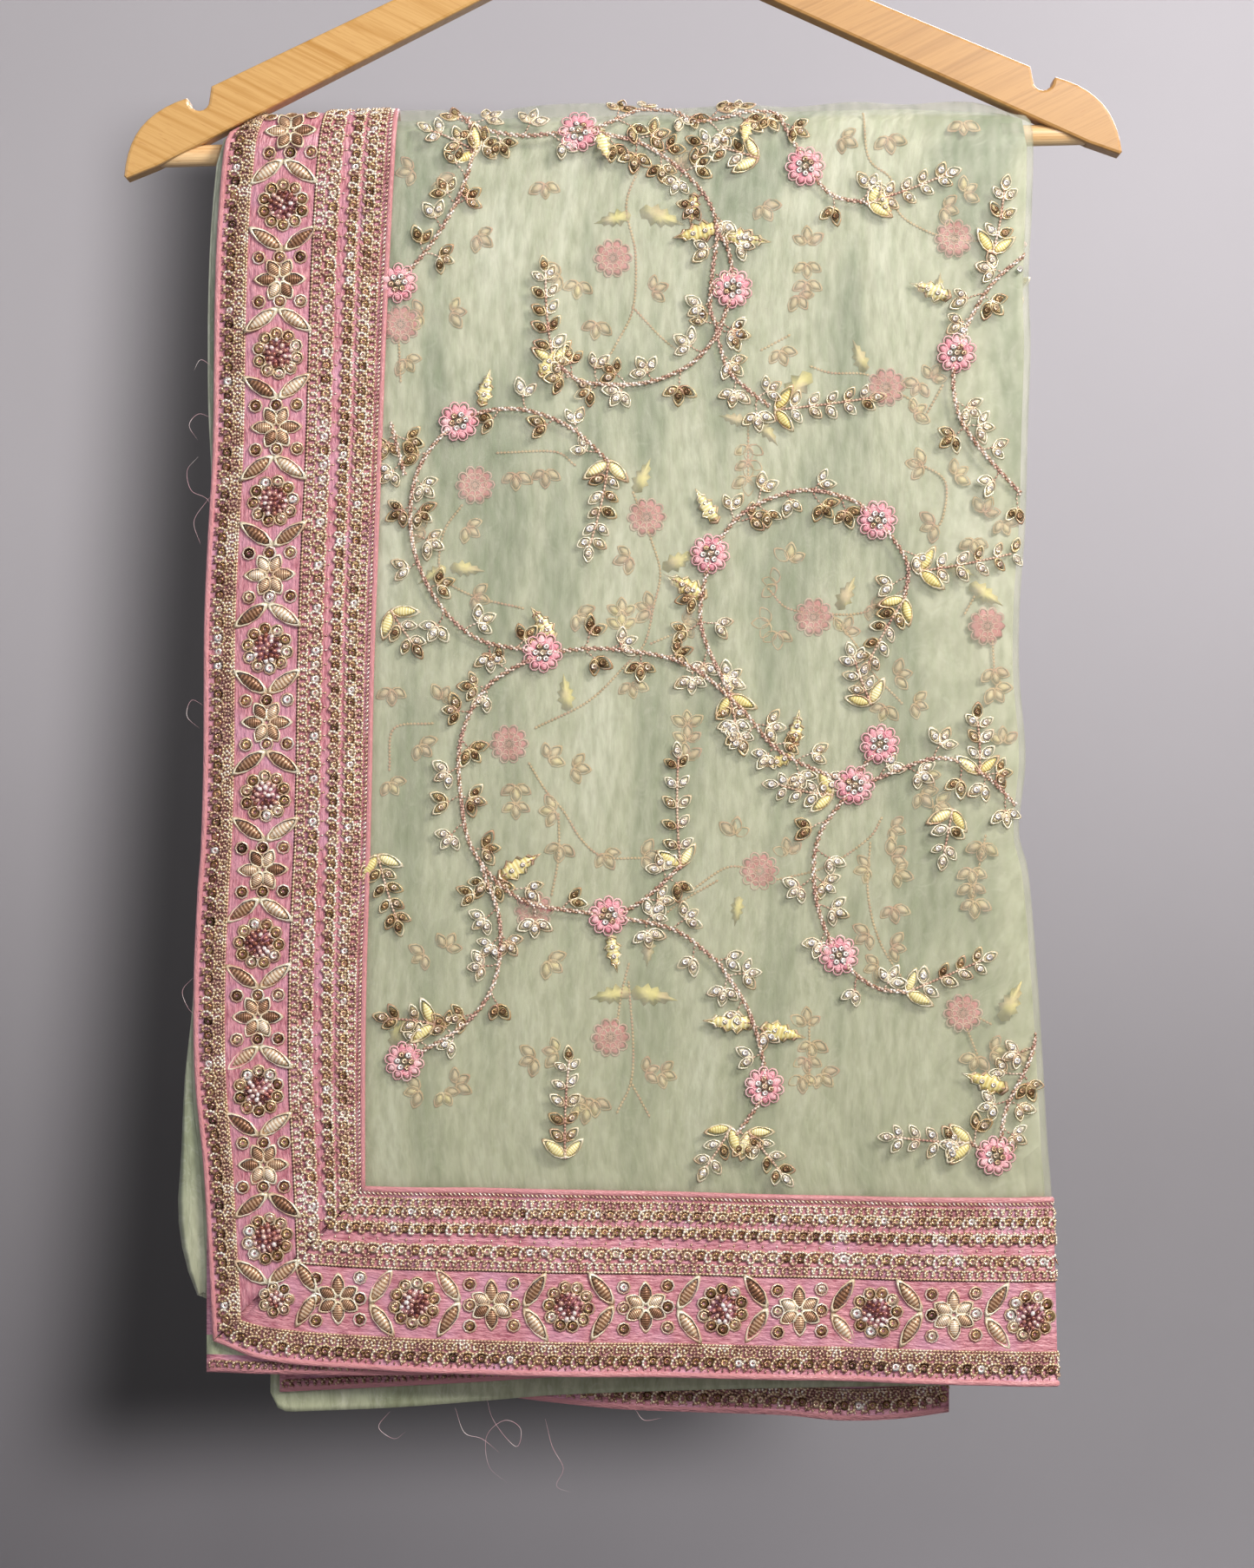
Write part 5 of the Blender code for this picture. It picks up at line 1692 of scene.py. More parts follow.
@dataclass
class BorderWork:
    """The zari work on a border: its rows, and the flowers and medallions of its panel."""

    basket: Basket
    chance: np.random.Generator
    step: float = 0.7
    motif_across: float = 29.0
    side_first: float = 25.5
    side_pitch: float = 65.2
    side_count: int = 8
    hem_first: float = -87.3
    hem_pitch: float = 67.9
    hem_count: int = 5
    low_inset: float = 1.5
    ring_radius: float = 8.7
    bead_rings: tuple[tuple[float, int, float], ...] = ((5.6, 13, 0.9), (3.6, 9, 1.4), (1.5, 4, 1.8))
    corner_radius: float = 5.6
    corner_beads: tuple[tuple[float, int, float], ...] = ((2.9, 8, 1.0), (0.9, 3, 1.5))

    def line(self, side: Side, across: float) -> Places:
        """A line at this distance from the outer edge, down the side, round the corner and along the hem."""
        share = across / BORDER_WIDTH
        corner_x, corner_drop = side.mitre(share)
        down = np.arange(RIDGE + 0.6, corner_drop, 2.0)
        bend = float(hem_bend(side, share))
        along = np.arange(corner_x, bend + WRAP[-1], 1.5)
        u = np.concatenate([border_x(side, down, share), along])
        return u, np.concatenate([down, hem_drop(side, np.minimum(along, bend), share)])

    def row(self, cloth: Cloth, u: Array, drop: Array, row: Row) -> None:
        """Stitches one row along a line."""
        if row.kind in (RowKind.LOOPS, RowKind.CURLS):
            u1, drop1, heading = steps_along(u, drop, self.step)
            turn = np.arange(len(u1)) * self.step / row.pitch * 2 * math.pi
            u2, drop2 = ahead(u1, drop1, heading, -row.reach * np.sin(turn))
            u2, drop2 = aside(u2, drop2, heading, row.reach * np.cos(turn))
            size = LOOP_THREAD if row.kind is RowKind.LOOPS else CURL_THREAD
            # Painted light and shade: the tint rises and falls round each curl, so one half of it is lighter
            tint = row.tint + 0.22 * np.sin(turn)
            self.basket.zari.run(cloth, u2, drop2, size, tint, 0.8)
            if row.kind is RowKind.LOOPS:
                spots = steps_along(u, drop, row.pitch, row.pitch / 2)
                self.sequins(cloth, *spots[:2], row.reach * 0.76, row.sequins)
        elif row.kind is RowKind.CHAIN:
            self.basket.zari.run(cloth, u, drop, THREAD_SIZE, row.tint, 0.4)
        else:
            u1, drop1, heading = steps_along(u, drop, row.pitch, row.pitch / 2)
            tint = row.tint + self.chance.uniform(-0.2, 0.2, len(u1))
            if row.kind is RowKind.SLANTS:
                size = (row.reach * 1.5, 0.5, 0.45)
                self.basket.stitches.sew(cloth, u1, drop1, heading + 0.75, size, tint, 0.4)
            elif row.kind is RowKind.DOTS:
                size = (row.reach, 0.45, 0.45)
                self.basket.stitches.sew(cloth, u1, drop1, heading + math.pi / 2, size, tint, 0.35)
            else:
                for way in (1.0, -1.0):
                    spots = aside(u1, drop1, heading, way * 1.0)
                    turned = heading + way * 0.8
                    self.basket.stitches.sew(cloth, *spots, turned, (row.reach * 1.3, 0.42, 0.4), tint, 0.4)

    def sequins(self, cloth: Cloth, u: Array, drop: Array, radius: float, tint: float) -> None:
        """Sews sequins, each of its own shade, here and there a bright silver one."""
        shade = np.clip(tint + self.chance.normal(0.0, 0.17, len(u)), 0.0, 1.0)
        shade = np.where(self.chance.uniform(size=len(u)) < 0.09, 1.0, shade)
        size = radius * self.chance.uniform(0.93, 1.05, len(u))
        turned = self.chance.uniform(0, 6.3, len(u))
        self.basket.sequins.sew(cloth, u, drop, turned, (size, size, size), shade, 0.3)

    def petal(self, cloth: Cloth, u: float, drop: float, heading: float, size: Sequence[float]) -> None:
        """A padded satin petal in a gold outline, pointing away from its foot."""
        long, wide, high = size
        tint = self.chance.uniform(0.15, 0.85)
        self.basket.copper.sew(cloth, u, drop, heading, (long, wide, high), tint, 0.15)
        self.basket.leaf_edges.sew(cloth, u, drop, heading, (long * 1.05, wide * 1.12, 7.0), 0.9, 0.55)

    def flower(self, cloth: Cloth, u: float, drop: float, heading: float) -> None:
        """Six padded petals with three ringed sequins before and three behind."""
        for k in range(6):
            turn = heading + math.pi / 2 + k * math.pi / 3
            self.petal(cloth, *ahead(u, drop, turn, 1.3), turn, (9.2 if k % 3 == 0 else 8.0, 2.6, 1.5))
        on, off = (g.ravel() for g in np.meshgrid((-9.7, 9.7), (-9.2, 0.0, 9.2)))
        spots = aside(*ahead(u, drop, heading, on), heading, off)
        self.sequins(cloth, *spots, 2.2, 0.4)
        self.basket.rings.sew(cloth, *spots, 0.0, (2.8, 2.8, 3.2), 0.72, 0.6)

    def medallion(self, cloth: Cloth, u: float, drop: float, heading: float) -> None:
        """A ring of sequins round a crown of seed beads, in a frame of four long leaves."""
        turn = turns(10) + self.chance.uniform(0, 0.6)
        spots = ahead(u, drop, turn, self.ring_radius)
        self.sequins(cloth, *spots, 2.4, 0.52)
        self.basket.rings.sew(cloth, *spots, 0.0, (2.75, 2.75, 3.2), 0.6, 0.6)
        for radius, count, lift in self.bead_rings:
            turn = turns(count) + self.chance.uniform(0, 2)
            out = radius + self.chance.uniform(-0.4, 0.4, count)
            tint = self.chance.uniform(0, 1, count)
            size = self.chance.uniform(0.9, 1.25, count)
            spots = ahead(u, drop, turn, out)
            self.basket.beads.sew(cloth, *spots, turn, (size * 1.3, size, size), tint, lift)
        for end in (-1.0, 1.0):
            for way in (-1.0, 1.0):
                foot = aside(*ahead(u, drop, heading, end * 19.3), heading, way * 0.9)
                turned = heading + math.atan2(way * 13.2, -end * 9.3)
                self.petal(cloth, *foot, turned, (15.4, 2.7, 1.6))

    def corner(self, cloth: Cloth, side: Side) -> None:
        """A small medallion where the panels meet at the mitre, and two leaves towards the hem's panel."""
        u, drop = side.mitre(0.37)
        u += 3.4
        drop += 6.6
        spots = ahead(u, drop, turns(7), self.corner_radius)
        self.sequins(cloth, *spots, 2.1, 0.5)
        self.basket.rings.sew(cloth, *spots, 0.0, (2.45, 2.45, 3.0), 0.65, 0.6)
        for radius, count, lift in self.corner_beads:
            turn = turns(count)
            spots = ahead(u, drop, turn, radius)
            tint = self.chance.uniform(0.2, 1, count)
            self.basket.beads.sew(cloth, *spots, turn, (1.3, 1.05, 1.05), tint, lift)
        for turned in (-2.11, 2.15):
            self.petal(cloth, u + 17.3, drop - 2.4 + (1.0 if turned > 0 else -1.0), turned, (14.6, 2.6, 1.5))

    def border(self, side: Side) -> None:
        """All of the work on one side's borders."""
        cloth = OuterSheet(side)
        for row in BORDER_ROWS:
            self.row(cloth, *self.line(side, row.across), row)
        u, drop = self.line(side, 42.6)
        self.basket.seam.run(cloth, u, drop, (1.2, 0.4, 0.3), 0.3, 0.1)
        cloth = FaceSheet(side)
        share = self.motif_across / BORDER_WIDTH
        for k in range(self.side_count):
            place = self.side_first + k * self.side_pitch
            for down, motif in ((place, self.medallion), (place - self.side_pitch / 2, self.flower)):
                motif(cloth, float(border_x(side, down, share)), down, math.pi / 2)
        for k in range(self.hem_count):
            place = self.hem_first + k * self.hem_pitch
            for x, motif in ((place, self.medallion), (place - self.hem_pitch / 2, self.flower)):
                motif(cloth, x, float(hem_drop(side, x, share)), 0.0)
        self.corner(cloth, side)

    def low_hem(self, cloth: Cloth, edge: Table, rows: Sequence[Row]) -> None:
        """The outer rows of a border that shows only below the others."""
        u = np.arange(edge.places[0] + self.low_inset, edge.places[-1] - self.low_inset, 1.5)
        for row in rows:
            self.row(cloth, u, edge.read("edge", u) - row.across, row)


# The winding stems of the field, each a row of places across and down, loosely set out
VINES = (
    ((-95, 61), (-80, 44), (-68, 24), (-62, 4), (-64, -14)),
    (
        (-68, -14), (-55, -6), (-39, -2), (-15, -3), (0, -1), (14, 3), (30, 14), (42, 28), (46, 42), (44, 60),
        (43, 76), (46, 86), (37, 98), (24, 105), (12, 108), (-2, 108), (-15, 106), (-24, 99),
    ),
    ((46, 42), (51, 50), (53, 67), (49, 80), (46, 90)),
    ((47, 91), (51, 103), (60, 112), (69, 119)),
    ((85, 14), (97, 27), (113, 31)),
    ((28, -15), (36, -8), (49, -9), (59, -12), (72, -12), (77, -2), (83, 8)),
    ((-15, -3), (-5, -5), (5, -10), (13, -15), (26, -16)),
    ((186, 52), (166, 70), (152, 98), (152, 122), (162, 140), (183, 163)),
    (
        (-2, 142), (-20, 126), (-44, 118), (-68, 123), (-86, 144), (-89, 173), (-79, 200), (-60, 219),
        (-31, 226),
    ),
    ((-31, 226), (-2, 225), (31, 232), (55, 251), (75, 273), (107, 288)),
    ((-31, 226), (-55, 240), (-67, 263), (-67, 290), (-61, 314), (-40, 335), (-2, 343), (27, 350), (47, 365)),
    ((47, 365), (61, 389), (67, 420), (55, 441)),
    ((43, 184), (58, 166), (82, 157), (104, 161), (117, 171), (130, 190), (129, 206)),
    ((43, 184), (39, 215), (52, 247)),
    ((118, 271), (107, 288), (142, 277), (163, 284), (180, 300)),
    ((107, 288), (91, 311), (90, 338), (100, 363), (115, 377), (130, 380)),
    ((-58, 320), (-50, 344), (-52, 370), (-65, 389), (-92, 405)),
    ((190, 386), (185, 410), (174, 432), (169, 453), (158, 447)),
    ((-98, 123), (-92, 146)),
    ((0, 344), (14, 336), (30, 322)),
)
FLOWERS = Table(
    "u drop",
    (-15, -3), (53, 67), (85, 14), (152, 98), (-68, 123), (-31, 226), (107, 288), (-2, 343), (67, 420),
    (43, 184), (117, 171), (118, 270), (100, 363), (-92, 405), (169, 453), (-95, 61),
)
# Sprays: the foot, the heading in degrees from across towards down, the length and the pairs of leaves
SPRAYS = Table(
    "u drop heading length pairs",
    (-26, 98, -102, 40, 5), (72, 121, -4, 42, 5), (113, 31, -17, 36, 4), (-2, 142, 96, 38, 5),
    (129, 206, 124, 32, 4), (136, 194, -6, 46, 5), (30, 322, -96, 48, 5), (130, 380, -22, 36, 4),
    (-21, 449, -92, 42, 5), (-104, 314, 76, 30, 4), (158, 447, 182, 34, 4), (52, 438, 118, 20, 2),
    (60, 440, 52, 24, 3), (162, 284, -86, 24, 3), (168, 54, -74, 28, 3), (97, 292, 184, 24, 3),
    (114, 252, -112, 22, 3), (-79, 389, 196, 20, 2), (-60, 4, -150, 22, 2), (52, 247, 84, 20, 3),
    (-98, 206, 60, 18, 2), (64, 10, -160, 26, 3), (150, 300, 100, 20, 2),
)
# Toothed pale-gold leaves: the foot, the heading and the length
TOOTHED = Table(
    "u drop heading length",
    (47, 40, 168, 18), (50, 44, 8, 17), (-26, 220, -125, 15), (41, 203, -150, 18), (-6, -4, 75, 14),
    (60, -8, 100, 12), (-58, 116, -75, 14), (-32, 104, -60, 12), (118, 26, 70, 11), (174, 424, 200, 18),
    (62, 392, 184, 19), (66, 394, 14, 17), (-50, 325, -28, 18), (36, 25, 100, 12), (-1, 352, 80, 14),
    (46, 170, -120, 15), (149, 73, 200, 16), (80, 270, -80, 14), (80, 274, 160, 12), (52, 247, -100, 10),
)
# The layer behind, set out in the same way: vines, flowers, sprigs of three and toothed leaves
VINES_BEHIND = (
    ((14, 8), (6, 28), (10, 50), (9, 74), (2, 89), (-4, 99)),
    ((9, 74), (22, 88), (30, 94)),
    ((-67, 160), (-75, 172), (-76, 190), (-62, 200), (-40, 206)),
    ((-51, 137), (-26, 137), (-17, 143)),
    ((9, 156), (17, 177), (21, 192), (18, 207), (14, 223), (5, 233), (-11, 248), (-34, 259)),
    ((17, 223), (32, 217)),
    ((-80, 256), (-97, 258), (-99, 276)),
    ((-37, 275), (-29, 288), (-22, 296), (-14, 309), (-4, 317), (13, 318)),
    ((-24, 298), (-24, 316), (-27, 333)),
    ((7, 365), (4, 377), (2, 390)),
    ((7, 373), (9, 400), (8, 417), (2, 430)),
    ((8, 417), (16, 432)),
    ((46, 329), (30, 338), (17, 348)),
    ((111, -14), (113, 10), (123, 20), (126, 34), (136, 42), (150, 47), (171, 49)),
    ((78, 88), (66, 94)),
    ((88, 102), (97, 105), (112, 106), (121, 112), (132, 118), (137, 126)),
    ((146, 112), (138, 126)),
    ((133, 145), (147, 154), (146, 171), (141, 176)),
    ((60, 128), (60, 152)),
    ((69, 200), (78, 209), (97, 212), (113, 211), (129, 202)),
    ((97, 212), (108, 226), (115, 238), (128, 252)),
    ((160, 206), (156, 213)),
    ((168, 222), (169, 238)),
    ((119, 303), (113, 312), (94, 324), (73, 329)),
    ((114, 314), (113, 336), (118, 357), (128, 374)),
    ((36, 332), (51, 323), (65, 325)),
    ((167, 395), (155, 390), (161, 408)),
    ((87, 392), (87, 420)),
    ((165, 312), (159, 340)),
    ((-95, 82), (-94, 104)),
)
FLOWERS_BEHIND = Table(
    "u drop",
    (-94, 79), (0, 52), (151, 47), (121, 112), (-61, 151), (15, 167), (89, 213), (166, 219), (-46, 266),
    (-35, 340), (65, 325), (155, 390), (-1, 397),
)
SPRIGS_BEHIND = Table(
    "u drop heading",
    (-23, 59, 170), (-15, 62, 100), (-7, 80, 100), (17, 67, -20), (-30, 18, 90), (-88, 11, 170),
    (-78, 16, 40), (-84, 75, 180), (-72, 74, 0), (-92, 94, 60), (122, 1, 80), (101, 1, 30), (155, -6, 90),
    (146, 33, 20), (155, 27, -30), (86, 48, -90), (86, 56, 90), (86, 64, 90), (82, 70, 60), (74, 94, 70),
    (141, 109, -60), (136, 110, 120), (-43, 146, 90), (-30, 145, 90), (8, 184, 160), (-65, 169, 40),
    (-83, 170, 190), (-62, 200, 20), (4, 216, -90), (4, 210, -90), (17, 208, 200), (31, 214, 0),
    (-16, 209, 40), (8, 240, 80), (-76, 246, -60), (-98, 240, 90), (60, 136, 90), (60, 143, 90),
    (60, 150, 90), (133, 124, -30), (138, 147, 190), (151, 152, -30), (143, 173, 160), (164, 169, -60),
    (173, 172, 70), (160, 180, 90), (114, 208, 40), (73, 198, 200), (78, 188, -80), (73, 219, 90),
    (70, 215, 180), (102, 220, -60), (114, 243, 170), (125, 240, -10), (133, 252, 20), (121, 253, 110),
    (169, 238, 80), (169, 246, 60), (-86, 265, 45), (-99, 281, 60), (-29, 273, -40), (-18, 277, 10),
    (-43, 284, 90), (-43, 292, 90), (-25, 296, 180), (-23, 311, 100), (-4, 315, 60), (13, 317, 0),
    (33, 260, -90), (33, 267, -90), (32, 275, -90), (-83, 358, 150), (-74, 356, -60), (-29, 362, 40),
    (173, 271, -90), (138, 284, 60), (136, 292, 50), (143, 297, 20), (164, 315, 100), (159, 326, 90),
    (159, 333, 90), (160, 340, 90), (123, 307, 20), (54, 309, -80), (78, 318, -100), (114, 325, 170),
    (123, 320, -30), (125, 327, 20), (124, 342, 80), (114, 354, 150), (123, 360, 10), (118, 368, 160),
    (-85, 418, 170), (-75, 419, 60), (-70, 416, -30), (-24, 403, 190), (-34, 405, 160), (14, 413, -20),
    (21, 413, 20), (-8, 424, 90), (-11, 427, 160), (86, 394, -90), (88, 401, 90), (86, 408, 90),
    (84, 416, 90), (92, 415, 50), (161, 409, 110), (167, 407, 0), (180, 408, 60), (-98, 60, 120),
    (30, 12, -60), (66, 30, 60), (-60, 40, 40),
)
TOOTHED_BEHIND = Table(
    "u drop heading length",
    (12, 31, 20, 19), (8, 33, 168, 15), (112, 105, -110, 14), (88, 105, 140, 20), (143, 76, -80, 13),
    (10, 156, -65, 15), (22, 190, -25, 16), (-72, 187, 8, 14), (-74, 187, 150, 13), (60, 126, 195, 12),
    (64, 124, 55, 14), (-20, 252, -95, 15), (100, 210, -62, 15), (158, 200, 35, 16), (173, 302, 75, 12),
    (8, 377, 172, 17), (8, 377, 12, 19), (16, 352, 95, 13), (172, 394, -62, 18), (-98, 398, -60, 14),
    (56, 336, 100, 12), (148, 192, 20, 12),
)


def smooth_line(points: Sequence[Sequence[float]], step: float) -> Places:
    """A smooth line through places on a cloth.

    Args:
        points: the places, across and down.
        step: the distance between the line's points.

    Returns:
        The line's places across and down.
    """
    places = np.array(points, float)
    ends = np.concatenate([[2 * places[0] - places[1]], places, [2 * places[-1] - places[-2]]])
    line = []
    for a, b, c, d in zip(ends, ends[1:], ends[2:], ends[3:]):
        count = max(int(np.hypot(*(c - b)) / step), 2)
        t = (np.arange(count) / count)[:, None]
        bent = (2 * a - 5 * b + 4 * c - d) * t**2
        line.append(0.5 * (2 * b + (c - a) * t + bent + (3 * b - a - 3 * c + d) * t**3))
    line.append(places[-1:])
    flat = np.concatenate(line)
    return flat[:, 0], flat[:, 1]


@dataclass
class FieldWork:
    """The embroidery of the sheer field: vines with twigs, sprays, toothed leaves and looped flowers."""

    basket: Basket
    chance: np.random.Generator
    mirror: float = 0.0
    turn_over: bool = False
    twig_pitch: float = 12.5
    clear: float = 10.0
    twist_step: float = 0.8
    twist_turn: float = 5.4
    twist_radius: float = 0.6
    height: float = 452.0
    loops: tuple[tuple[float, float, float], ...] = ((6.6, 2.2, 0.7), (4.7, 1.5, 0.45))
    loops_behind: tuple[tuple[float, float, float], ...] = ((6.5, 2.1, 0.5), (3.9, 1.5, 0.7), (1.3, 1.0, 0.4))

    def move(self, u: Values, drop: Values) -> Places:
        """A place of the layout on this face, which on the back is the same layout turned half round."""
        if self.turn_over:
            return self.mirror - np.asarray(u, float), self.height - np.asarray(drop, float)
        return np.asarray(u, float), np.asarray(drop, float)

    def turned(self, degrees: float) -> float:
        """A heading of the layout on this face, in radians."""
        return math.radians(degrees) + (math.pi if self.turn_over else 0.0)

    def brightness(self, u: float, drop: float) -> float:
        """The chance that a leaf here is a bright one, low at the left, where the dull leaves stand for
        painted shade, and low over the bar.
        """
        return float(0.22 + 0.55 * ease(-75.0, 50.0, u) * ease(-4.0, 40.0, drop))

    def leaf(self, cloth: Cloth, u: float, drop: float, heading: float, long: float, bright: bool) -> None:
        """A small stitched leaf in an outline, with a sequin on it."""
        wide = long * self.chance.uniform(0.25, 0.3)
        # Bright leaves are paler, with a near-white sequin; which ones are dull is partly random, partly
        # painted shade
        tint = self.chance.uniform(0.7, 1.0) if bright else self.chance.uniform(0.22, 0.58)
        self.basket.bronze.sew(cloth, u, drop, heading, (long, wide, 0.45), tint, 0.1)
        rim = tint + (0.1 if bright else 0.26)
        self.basket.leaf_edges.sew(cloth, u, drop, heading, (long * 1.12, wide * 1.25, 6.5), rim, 0.4)
        spot = ahead(u, drop, heading, long * 0.5)
        shade = self.chance.choice([0.86, 1.0]) if bright else self.chance.choice([0.2, 0.45, 0.7])
        size = self.chance.uniform(1.4, 1.75)
        self.basket.sequins.sew(cloth, *spot, self.chance.uniform(0, 6), (size, size, size), shade, 0.7)

    def pale_leaf(self, cloth: Cloth, u: float, drop: float, heading: float, long: float) -> None:
        """A plain pale-gold leaf, longer than the others."""
        tint = self.chance.uniform(0.4, 0.8)
        self.basket.pale.sew(cloth, u, drop, heading, (long, long * 0.2, 0.6), tint, 0.15)
        self.basket.leaf_edges.sew(cloth, u, drop, heading, (long * 1.08, long * 0.23, 6.0), 0.78, 0.35)

    def toothed(self, cloth: Cloth, u: float, drop: float, heading: float, long: float) -> None:
        """A toothed pale-gold leaf with two sequins along its rib."""
        size = (long, long * 0.27, 0.5)
        self.basket.saw.sew(cloth, u, drop, heading, size, self.chance.uniform(0.5, 0.8), 0.15)
        self.basket.saw_edges.sew(cloth, u, drop, heading, (long * 1.02, long * 0.28, 6.0), 0.75, 0.3)
        rib = ahead(u, drop, heading, np.array([0.1, 0.5, 0.9]) * long)
        self.stem(cloth, *rib)
        for share in (0.35, 0.65):
            spot = ahead(u, drop, heading, long * share)
            self.basket.sequins.sew(cloth, *spot, 0.0, (1.2, 1.2, 1.2), 0.9, 0.9)

    def stem(self, cloth: Cloth, u: Sequence, drop: Sequence, size: Sequence[float] = FINE_THREAD) -> None:
        """A single thread."""
        self.basket.twist.run(cloth, np.asarray(u, float), np.asarray(drop, float), size, 0.5, 0.4)

    def twig(self, cloth: Cloth, u: float, drop: float, heading: float) -> None:
        """A short stem that ends in one leaf or three, all bright or all dull."""
        long = self.chance.uniform(3.5, 8.0)
        way = self.chance.uniform(-0.35, 0.35)
        bright = self.chance.uniform() < self.brightness(u, drop)
        middle = ahead(u, drop, heading, long * 0.5)
        tip = ahead(*middle, heading + way, long * 0.5)
        self.stem(cloth, [u, middle[0], tip[0]], [drop, middle[1], tip[1]])
        spread = (-1.05, 0.0, 1.05) if self.chance.uniform() < 0.6 else (-0.1, 0.95)
        for turn in spread:
            head = heading + way + turn
            self.leaf(cloth, *ahead(*tip, head, 0.7), head, self.chance.uniform(5.8, 7.4), bright)

    def vine(self, cloth: Cloth, points: Sequence[Sequence[float]], flowers: Places) -> None:
        """A twisted stem with twigs on both sides by turns.

        Args:
            cloth: what it is sewn on.
            points: its places across and down.
            flowers: places that its twigs stay clear of.
        """
        u, drop = self.move(*smooth_line(points, 1.2))
        u1, drop1, heading = steps_along(u, drop, self.twist_step)
        turn = np.arange(len(u1)) * self.twist_step / self.twist_turn * 2 * math.pi
        # Two strands of one twist, one pale and one dark: a painted highlight and a painted shade of the
        # twist
        for way, tint in ((0.0, 0.8), (math.pi, 0.36)):
            off = self.twist_radius * np.sin(turn + way)
            lift = 0.6 + 0.35 * np.cos(turn + way)
            self.basket.twist.run(cloth, *aside(u1, drop1, heading, off), THREAD_SIZE, tint, lift)
        spots = steps_along(u, drop, self.twig_pitch, self.chance.uniform(4.0, 8.0))
        for k, (x, y, head) in enumerate(zip(*spots)):
            if np.hypot(flowers[0] - x, flowers[1] - y).min() < self.clear:
                continue
            way = 1.0 if k % 2 else -1.0
            self.twig(cloth, x, y, head + way * self.chance.uniform(0.7, 1.25))
            if self.chance.uniform() < 0.3:
                self.twig(cloth, x, y, head - way * self.chance.uniform(0.8, 1.3))

    def spray(self, cloth: Cloth, u: float, drop: float, heading: float, length: float, pairs: int) -> None:
        """A straight twig of leaves in pairs, behind two pale leaves at its foot."""
        bow = self.chance.uniform(-0.16, 0.16)
        on = np.linspace(0.0, length, 9)
        off = bow * on * (on / length)
        line = aside(u + np.cos(heading) * on, drop + np.sin(heading) * on, np.full(9, heading), off)
        self.stem(cloth, *line, THREAD_SIZE)
        for way in (-1.0, 1.0):
            turned = heading + way * self.chance.uniform(0.7, 1.0)
            self.pale_leaf(cloth, u, drop, turned, self.chance.uniform(10, 12))
        bright = self.brightness(u, drop)
        for k in range(pairs):
            share = (k + 0.9) / (pairs + 0.4)
            spot = (np.interp(share * length, on, line[0]), np.interp(share * length, on, line[1]))
            for way in (-1.0, 1.0):
                turned = heading + way * self.chance.uniform(0.7, 1.1)
                foot = ahead(*spot, turned, 0.8)
                long = self.chance.uniform(6.2, 7.4) * (1.0 - 0.15 * share)
                self.leaf(cloth, *foot, turned, long, self.chance.uniform() < bright)
        self.leaf(cloth, line[0][-1], line[1][-1], heading, 6.4, self.chance.uniform() < bright)

    def flower(self, cloth: Cloth, u: float, drop: float) -> None:
        """A round flower of looped petals with silver sequins in its middle."""
        turn = turns(10) + self.chance.uniform(0, 1)
        tint = self.chance.uniform(0.4, 0.85, len(turn))
        foot = ahead(u, drop, turn, 2.4)
        self.basket.pink_pads.sew(cloth, *foot, turn, (5.8, 2.2, 0.9), tint, 0.15)
        for out, size, shade in self.loops:
            spots = ahead(u, drop, turn, out)
            self.basket.pink_loops.sew(cloth, *spots, turn, (size, size * 0.95, size * 1.2), shade, 0.8)
        turn = turns(6) + self.chance.uniform(0, 1)
        shade = np.where(self.chance.uniform(size=6) < 0.6, 1.0, 0.6)
        spots = ahead(u, drop, turn, 3.1)
        self.basket.sequins.sew(cloth, *spots, turn, (1.45, 1.45, 1.45), shade, 1.1)
        self.basket.sequins.sew(cloth, u, drop, 0.0, (1.5, 1.5, 1.5), 0.7, 1.5)

    def front(self, cloth: Cloth) -> None:
        """The whole layout on one face."""
        flowers = self.move(FLOWERS.values["u"], FLOWERS.values["drop"])
        for u, drop in zip(*flowers):
            self.flower(cloth, u, drop)
        for points in VINES:
            self.vine(cloth, points, flowers)
        for row in SPRAYS.rows():
            place = self.move(row["u"], row["drop"])
            self.spray(cloth, *place, self.turned(row["heading"]), row["length"], int(row["pairs"]))
        for row in TOOTHED.rows():
            self.toothed(cloth, *self.move(row["u"], row["drop"]), self.turned(row["heading"]), row["length"])

    def sprig_behind(self, cloth: Cloth, u: float, drop: float, heading: float) -> None:
        """Three net leaves from one place on the layer behind."""
        turn = heading + np.array([-1.0, 0.0, 1.0])
        spots = (np.full(3, u) + 0.8 * np.cos(turn), np.full(3, drop) + 0.8 * np.sin(turn))
        size = self.chance.uniform(5.6, 7.2, 3)
        tint = self.chance.uniform(0.15, 0.55, 3)
        self.basket.ghost_fills.sew(cloth, *spots, turn, (size, size * 0.28, 1.0), tint, 0.05)
        self.basket.ghost_edges.sew(cloth, *spots, turn, (size * 1.08, size * 0.36, 7.0), tint, 0.2)

